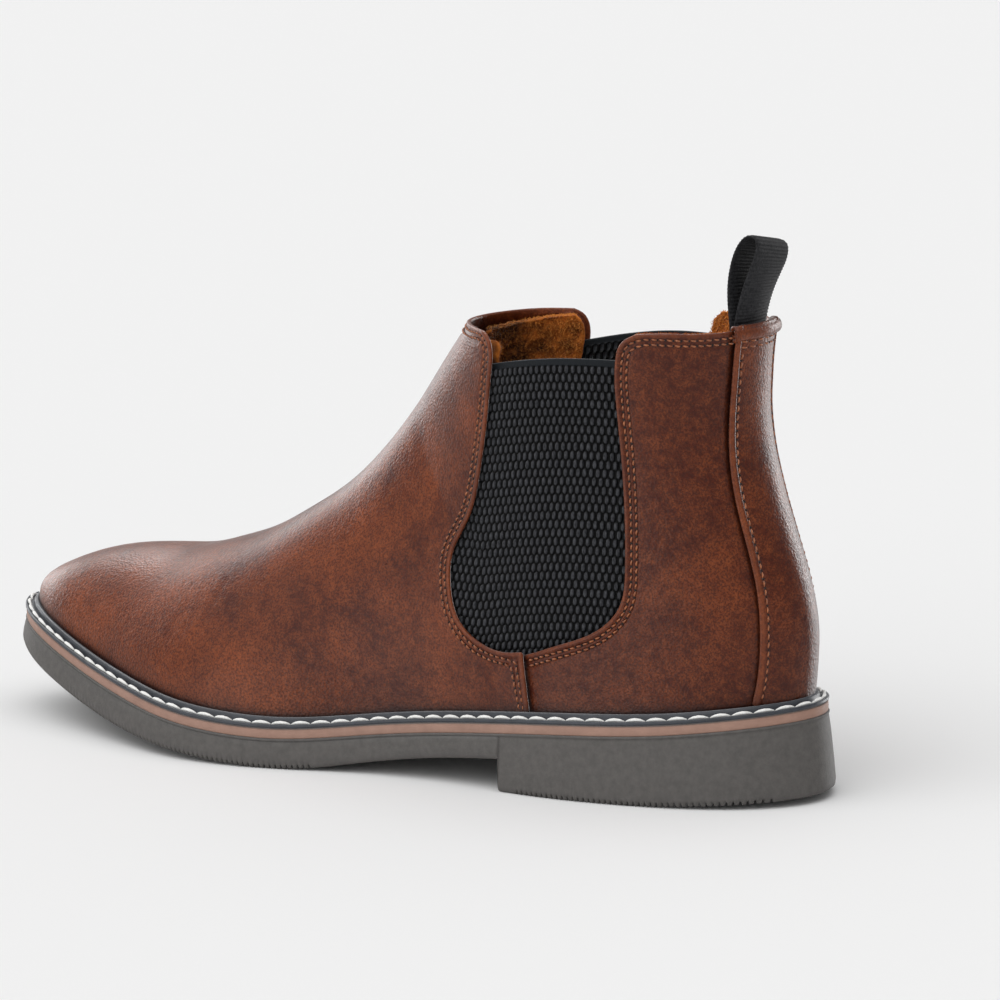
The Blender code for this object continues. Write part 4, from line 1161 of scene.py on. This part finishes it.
def make_lining(name, points, seed, node, bend):
    """A plush lining: a soft lumpy sheet with its pile standing on the side that shows."""
    normals = facing(points, OUTER)
    thick = LINING_PLY[1] - LINING_PLY[0]
    depth = LINING_PLY[0] + PILE_LUMPS * (waves(points, 5.5, seed) + 0.7 * waves(points, 1.6, seed + 5))
    sheet = rounded_sheet(points, normals, depth, thick)[:2]
    seen = slice(int(np.argmax(points[:, 0, 2] > points[..., 2].max() - PILE_REACH)), None)
    inside = points - normals * (depth[..., None] + thick)
    pile = tufts(inside[seen], -normals[seen], PILE_COUNT, seed, PILE_LENGTH)
    lip_points = np.stack([points[-1] - normals[-1] * d for d in np.linspace(*LINING_PLY, 4)])
    lip_normals = unit(np.tile((0.0, 0.0, 1.0), lip_points.shape[:2] + (1,)) - 0.4 * normals[-1])
    lip = tufts(lip_points, lip_normals, PILE_COUNT // 8, seed + 1, PILE_LENGTH)
    solid = joined([sheet, pile, lip])
    blades = (len(solid[0]) - len(sheet[0])) // 5
    tip = np.concatenate([np.zeros(len(sheet[0])), np.tile((0, 0, 0.6, 0.6, 1.0), blades)])
    add_piece(name, solid, [plush()], "lining", [node], bend, tip=tip)


def make_linings():
    """The front lining starts further in on the outer side than on the inner one."""
    across = crowded(12, 60, 0.1)
    up = even(90)
    inset = {OUTER: PILE_INSET_NEAR, INNER: PILE_INSET}
    front = both_sides(lambda side, *where: vamp_grid(side, *where, inset[side]), across, up**1.3, PILE_DROP)
    make_lining("vamp_plush", front, 21, "vamp_lining", bends_at_ball)
    rear = both_sides(quarter_grid, across, up, PILE_DROP, PILE_INSET)
    make_lining("quarter_plush", rear, 22, "quarter_lining", bends_at_ankle)


def make_stiffeners():
    """The toe puff and the heel counter, between the leather and the lining."""
    across = even(60)
    front = both_sides(vamp_grid, across, even(80) ** 1.7)
    rear = both_sides(quarter_grid, across, even(80))
    for name, grid, rows, reach, ply, node, bend in (
        ("toe_stiffener", front, slice(9, 37), 17, PUFF_PLY, "toe_puff", bends_at_ball),
        ("heel_stiffener", rear, slice(1, 28), 36, COUNTER_PLY, "heel_counter", bends_at_ankle),
    ):
        part = rows, slice(len(across) - 1 - reach, len(across) + reach)
        add_sheet(name, grid[part], facing(grid, OUTER)[part], ply[0], ply[1] - ply[0],
                  [plain("stiffener")], "stiffener", [node], bend)


def make_loop():
    """Grosgrain webbing folded into a loop, ribbed across its width."""
    path = smooth_line(LOOP_PATH, even(420))
    aside = right_of(unit(np.gradient(path, axis=0)))
    half = LOOP_THICK / 2 + RIB_HIGH * np.cos(2 * np.pi * lengths(path) / RIB_PITCH)
    x = np.sin(np.pi * (even(25) - 0.5)) * LOOP_HALF_WIDTH
    edge = np.sqrt(np.clip(1 - (np.abs(x) / (LOOP_HALF_WIDTH + 0.05)) ** 14, 0, 1))
    thick = half[:, None] * edge
    free = ease(LOOP_ROOT_Z, LOOP_FLAT_Z, path[:, 1])[:, None]
    cup = LOOP_BEND * (1 - 0.9 * free) * x**2
    tilt = LOOP_TILT * free * x
    place = np.broadcast_to(LOOP_HINGE_X + x, cup.shape)
    y, z = path[:, :1] - cup, path[:, 1:] + tilt
    outer, inner = [
        np.stack([place, y + aside[:, :1] * push, z + aside[:, 1:] * push], -1) for push in (thick, -thick)
    ]
    solid = loft(np.concatenate([outer, inner[:, ::-1]], axis=1))
    add_piece("pull_webbing", solid, [webbing()], "webbing", ["pull_loop"], bends_at_topline)


# Materials

class Finish:
    """A material being made. Its methods add nodes, and most give the socket that carries their result."""

    def __init__(self, name, roughness=None, specular=None):
        self.made = bpy.data.materials.new(name + "_finish")
        self.made.use_nodes = True
        self.shader = self.made.node_tree.nodes["Principled BSDF"]
        object_place = self.node("TexCoord", out="Object")
        # Places on the boot in millimetres.
        self.where = self.node("VectorMath", {0: object_place, "Scale": 1 / MM}, operation="SCALE")
        if roughness is not None:
            self.set(Roughness=roughness, Specular_IOR_Level=specular)

    def node(self, kind, feeds=None, out=0, **settings):
        """One of a new node's outputs, with its inputs linked to sockets or set to values."""
        made = self.made.node_tree.nodes.new("ShaderNode" + kind)
        for key, value in settings.items():
            setattr(made, key, value)
        for key, value in (feeds or {}).items():
            self.feed(made.inputs[key], value)
        return made.outputs[out]

    def feed(self, socket, value):
        if isinstance(value, bpy.types.NodeSocket):
            self.made.node_tree.links.new(value, socket)
        else:
            socket.default_value = (*value, 1) if socket.type == "RGBA" else value

    def set(self, **values):
        """Feed the shader's own sockets, named with _ for each space."""
        for key, value in values.items():
            self.feed(self.shader.inputs[key.replace("_", " ")], value)

    def noise(self, size, detail=3.0, roughness=0.55, stretch=(1, 1, 1), kind="FBM"):
        """Noise with features about `size` millimetres across."""
        place = self.node("VectorMath", {0: self.where, 1: stretch}, operation="MULTIPLY")
        feeds = {"Vector": place, "Scale": 1 / size, "Detail": detail, "Roughness": roughness}
        return self.node("TexNoise", feeds, "Fac", noise_type=kind)

    def cells(self, size):
        return self.node("TexVoronoi", {"Vector": self.where, "Scale": 1 / size}, "Distance")

    def along(self, axis):
        return self.node("SeparateXYZ", {0: self.where}, axis)

    def attribute(self, name):
        return self.node("Attribute", out="Fac", attribute_name=name)

    def ramp(self, value, low, high, first=0.0, last=1.0):
        """A level that runs from `first` where the value is low to `last` where it is high."""
        level = self.node("ValToRGB", {"Fac": value}, "Color")
        for element, place, shade in zip(level.node.color_ramp.elements, (low, high), (first, last)):
            element.position = place
            element.color = (shade, shade, shade, 1)
        return level

    def mixed(self, share, first, second):
        return self.node("Mix", {0: share, 6: first, 7: second}, 2, data_type="RGBA")

    def times(self, value, factor, offset=0.0):
        return self.node("Math", {0: value, 1: factor, 2: offset}, operation="MULTIPLY_ADD")

    def plus(self, first, *others):
        for other in others:
            first = self.node("Math", {0: first, 1: other}, operation="ADD")
        return first

    def bump(self, height, deep):
        """Relief on the shader, `deep` in millimetres."""
        feeds = {"Strength": 1.0, "Distance": deep * MM, "Height": height}
        self.set(Normal=self.node("Bump", feeds, "Normal"))


@cache
def leather():
    """Brown leather: clouded colour, fine grain, a painted highlight on the turned edges and painted shade by
    the welt and the overlaps.
    """
    new = Finish("leather")
    fade = new.plus(new.times(new.along("Y"), -0.0008), new.times(new.along("Z"), -0.0005))
    clouds = new.ramp(new.plus(new.noise(30, 5, 0.62), fade), 0.36, 0.64)
    flecks = new.ramp(new.noise(3.5, 6, 0.75), 0.4, 0.66)
    pores = new.ramp(new.noise(0.7, 4, 0.75), 0.42, 0.56, 1.0, 0.0)
    colour = new.mixed(clouds, (0.068, 0.009, 0.0018), (0.23, 0.05, 0.012))
    for share, strength, layer in (
        (flecks, 0.45, (0.31, 0.078, 0.02)),
        (pores, 0.7, (0.032, 0.005, 0.0015)),
        # The last two layers are painted light: a highlight on the turned edges, and near-black shade by the
        # welt and beside the overlaps.
        (new.attribute("painted_edge_highlight"), 0.28, (0.34, 0.095, 0.035)),
        (new.attribute("painted_shade"), 0.9, (0.014, 0.004, 0.003)),
    ):
        colour = new.mixed(new.times(share, strength), colour, layer)
    roughness = new.times(new.noise(9, 4, 0.6), 0.2, 0.22)
    new.set(Base_Color=colour, Roughness=roughness, Specular_IOR_Level=0.26)
    grain = new.plus(new.times(new.cells(0.9), 0.8), new.times(new.noise(0.45, 3), 0.5))
    creased = new.ramp(new.noise(5.0, 5, 0.6, kind="RIDGED_MULTIFRACTAL"), 0.45, 0.95, 1.0, 0.0)
    pebbled = new.times(new.noise(2.2, 5, 0.65), 1.3)
    new.bump(new.plus(grain, new.times(creased, 0.9), pebbled), 0.13)
    return new.made


@cache
def plain(name):
    """A matt stuff with a slightly clouded colour and a fine tooth, from its row of PLAIN_FINISHES."""
    dark, light, size, rough, relief, fine, settings = PLAIN_FINISHES[name]
    new = Finish(name)
    clouds = new.ramp(new.noise(size, 4, 0.65), 0.3, 0.7)
    new.set(Base_Color=new.mixed(clouds, dark, light), **settings)
    new.set(Roughness=new.times(new.noise(size / 3, 3), 0.2, rough - 0.1))
    new.bump(new.noise(fine, 3, 0.6), relief)
    return new.made


@cache
def elastic():
    """Black elastic: grey raised knots of yarn, their grey partly a painted highlight, over a nearly black
    ground that is painted shade between the knots.
    """
    new = Finish("elastic", 0.45, 0.12)
    yarn = new.ramp(new.noise(0.45, 3, 0.6, (1, 1, 0.35)), 0.3, 0.7)
    # The knots' grey is lifted above the yarn's own dark as a painted highlight.
    lit = new.mixed(yarn, (0.014, 0.0145, 0.0175), (0.07, 0.072, 0.08))
    raised = new.ramp(new.attribute("knot"), 0.35, 0.85)
    # The ground between the knots is painted nearly black: painted shade in the gaps.
    colour = new.mixed(raised, (0.0008, 0.0008, 0.001), lit)
    hem_share = new.times(new.attribute("hem"), 0.85)
    new.set(Base_Color=new.mixed(hem_share, colour, (0.006, 0.0085, 0.0115)))
    new.bump(new.noise(0.3, 3, 0.6, (1, 1, 0.4)), 0.12)
    return new.made


@cache
def plush():
    """Orange-brown pile, patchy from brushing: painted shade darkens it towards the toe, and it is dark at
    the root and lighter at the tips, a painted highlight.
    """
    new = Finish("plush", 0.85, 0.2)
    # Painted shade: the pile gets darker towards the toe.
    patches_and_shade = new.plus(new.noise(11, 4, 0.6, (1, 1, 1.4)), new.times(new.along("Y"), 0.007, -0.3))
    colour = new.mixed(new.ramp(patches_and_shade, 0.4, 0.62), (0.05, 0.0125, 0.0045), (0.52, 0.15, 0.02))
    strands = new.ramp(new.noise(0.9, 3, 0.6), 0.4, 0.66)
    colour = new.mixed(new.times(strands, 0.3), colour, (0.7, 0.24, 0.035))
    # Painted highlight: the tips of the blades are lighter.
    new.set(Base_Color=new.mixed(new.times(new.attribute("tip"), 0.35), colour, (0.85, 0.36, 0.08)))
    new.bump(new.noise(0.8, 4, 0.7), 0.3)
    return new.made


@cache
def webbing():
    """Black grosgrain: fine warp yarns along the webbing, over its woven ribs."""
    new = Finish("webbing", 0.75, 0.15)
    yarn = new.ramp(new.noise(0.5, 3, 0.6, (1, 0.5, 0.5)), 0.3, 0.7)
    new.set(Base_Color=new.mixed(yarn, (0.006, 0.006, 0.007), (0.04, 0.04, 0.043)))
    new.bump(new.noise(0.4, 3, 0.6, (2.2, 0.5, 0.5)), 0.06)
    return new.made


# Stage

def make_floor():
    mesh = bpy.data.meshes.new("floor")
    corners = [(-FLOOR_REACH, -FLOOR_REACH, 0), (FLOOR_REACH, -FLOOR_REACH, 0),
               (FLOOR_REACH, FLOOR_REACH, 0), (-FLOOR_REACH, FLOOR_REACH, 0)]
    mesh.from_pydata(corners, [], [(0, 1, 2, 3)])
    floor = bpy.data.objects.new("floor", mesh)
    bpy.context.scene.collection.objects.link(floor)
    new = Finish("floor", 0.9, 0.0)
    new.set(Base_Color=(FLOOR_SHADE, FLOOR_SHADE, FLOOR_SHADE))
    mesh.materials.append(new.made)


def direction(azimuth, elevation):
    a, e = math.radians(azimuth), math.radians(elevation)
    return Vector((math.sin(a) * math.cos(e), -math.cos(a) * math.cos(e), math.sin(e)))


def add_holder(name, data, turn):
    """A camera or a light in the scene, turned as a quaternion says."""
    holder = bpy.data.objects.new(name, data)
    holder.rotation_mode = "QUATERNION"
    holder.rotation_quaternion = turn
    bpy.context.scene.collection.objects.link(holder)
    return holder


def make_light():
    """Even studio light: a bright room and broad lights far away, so the floor is lit alike all over."""
    world = bpy.data.worlds.new("studio")
    bpy.context.scene.world = world
    world.use_nodes = True
    background = world.node_tree.nodes["Background"]
    background.inputs["Color"].default_value = (1.0, 1.0, 1.0, 1)
    background.inputs["Strength"].default_value = ROOM_LIGHT
    for name, azimuth, elevation, width, strength in LIGHTS:
        light = bpy.data.lights.new(name, "SUN")
        light.energy = strength
        light.angle = math.radians(width)
        light.use_shadow = name not in GLOSS_LIGHTS
        holder = add_holder(name, light, direction(azimuth, elevation).to_track_quat("Z", "Y"))
        holder.visible_diffuse = light.use_shadow
    bpy.context.scene.view_settings.view_transform = "Standard"


def make_camera():
    camera = bpy.data.cameras.new("camera")
    camera.sensor_width = 36.0
    camera.lens = LENS
    camera.shift_x, camera.shift_y = CAMERA_SHIFT
    camera.clip_start, camera.clip_end = 0.1, 30
    back = direction(*CAMERA_FROM)
    right = Vector((0, 0, 1)).cross(back).normalized()
    up = back.cross(right)
    cos, sin = math.cos(math.radians(CAMERA_ROLL)), math.sin(math.radians(CAMERA_ROLL))
    turned = right * cos + up * sin, up * cos - right * sin, back
    holder = add_holder("camera", camera, Matrix(turned).transposed().to_quaternion())
    holder.location = Vector(shown(CAMERA_TARGET)) + back * CAMERA_DISTANCE
    bpy.context.scene.camera = holder


def finish_steel():
    """The shank keeps its shape from the model and gets its finish here."""
    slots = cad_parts["shank"].data.materials
    slots.clear()
    slots.append(plain("shank_steel"))


make_camera()
make_light()
make_floor()
make_outsole()
make_midsole()
make_welt()
make_welt_stitches()
make_insides()
finish_steel()
make_vamp()
make_vamp_stitches()
make_quarters()
make_quarter_stitches()
make_back_strip()
make_strip_stitches()
make_gores()
make_linings()
make_stiffeners()
make_loop()
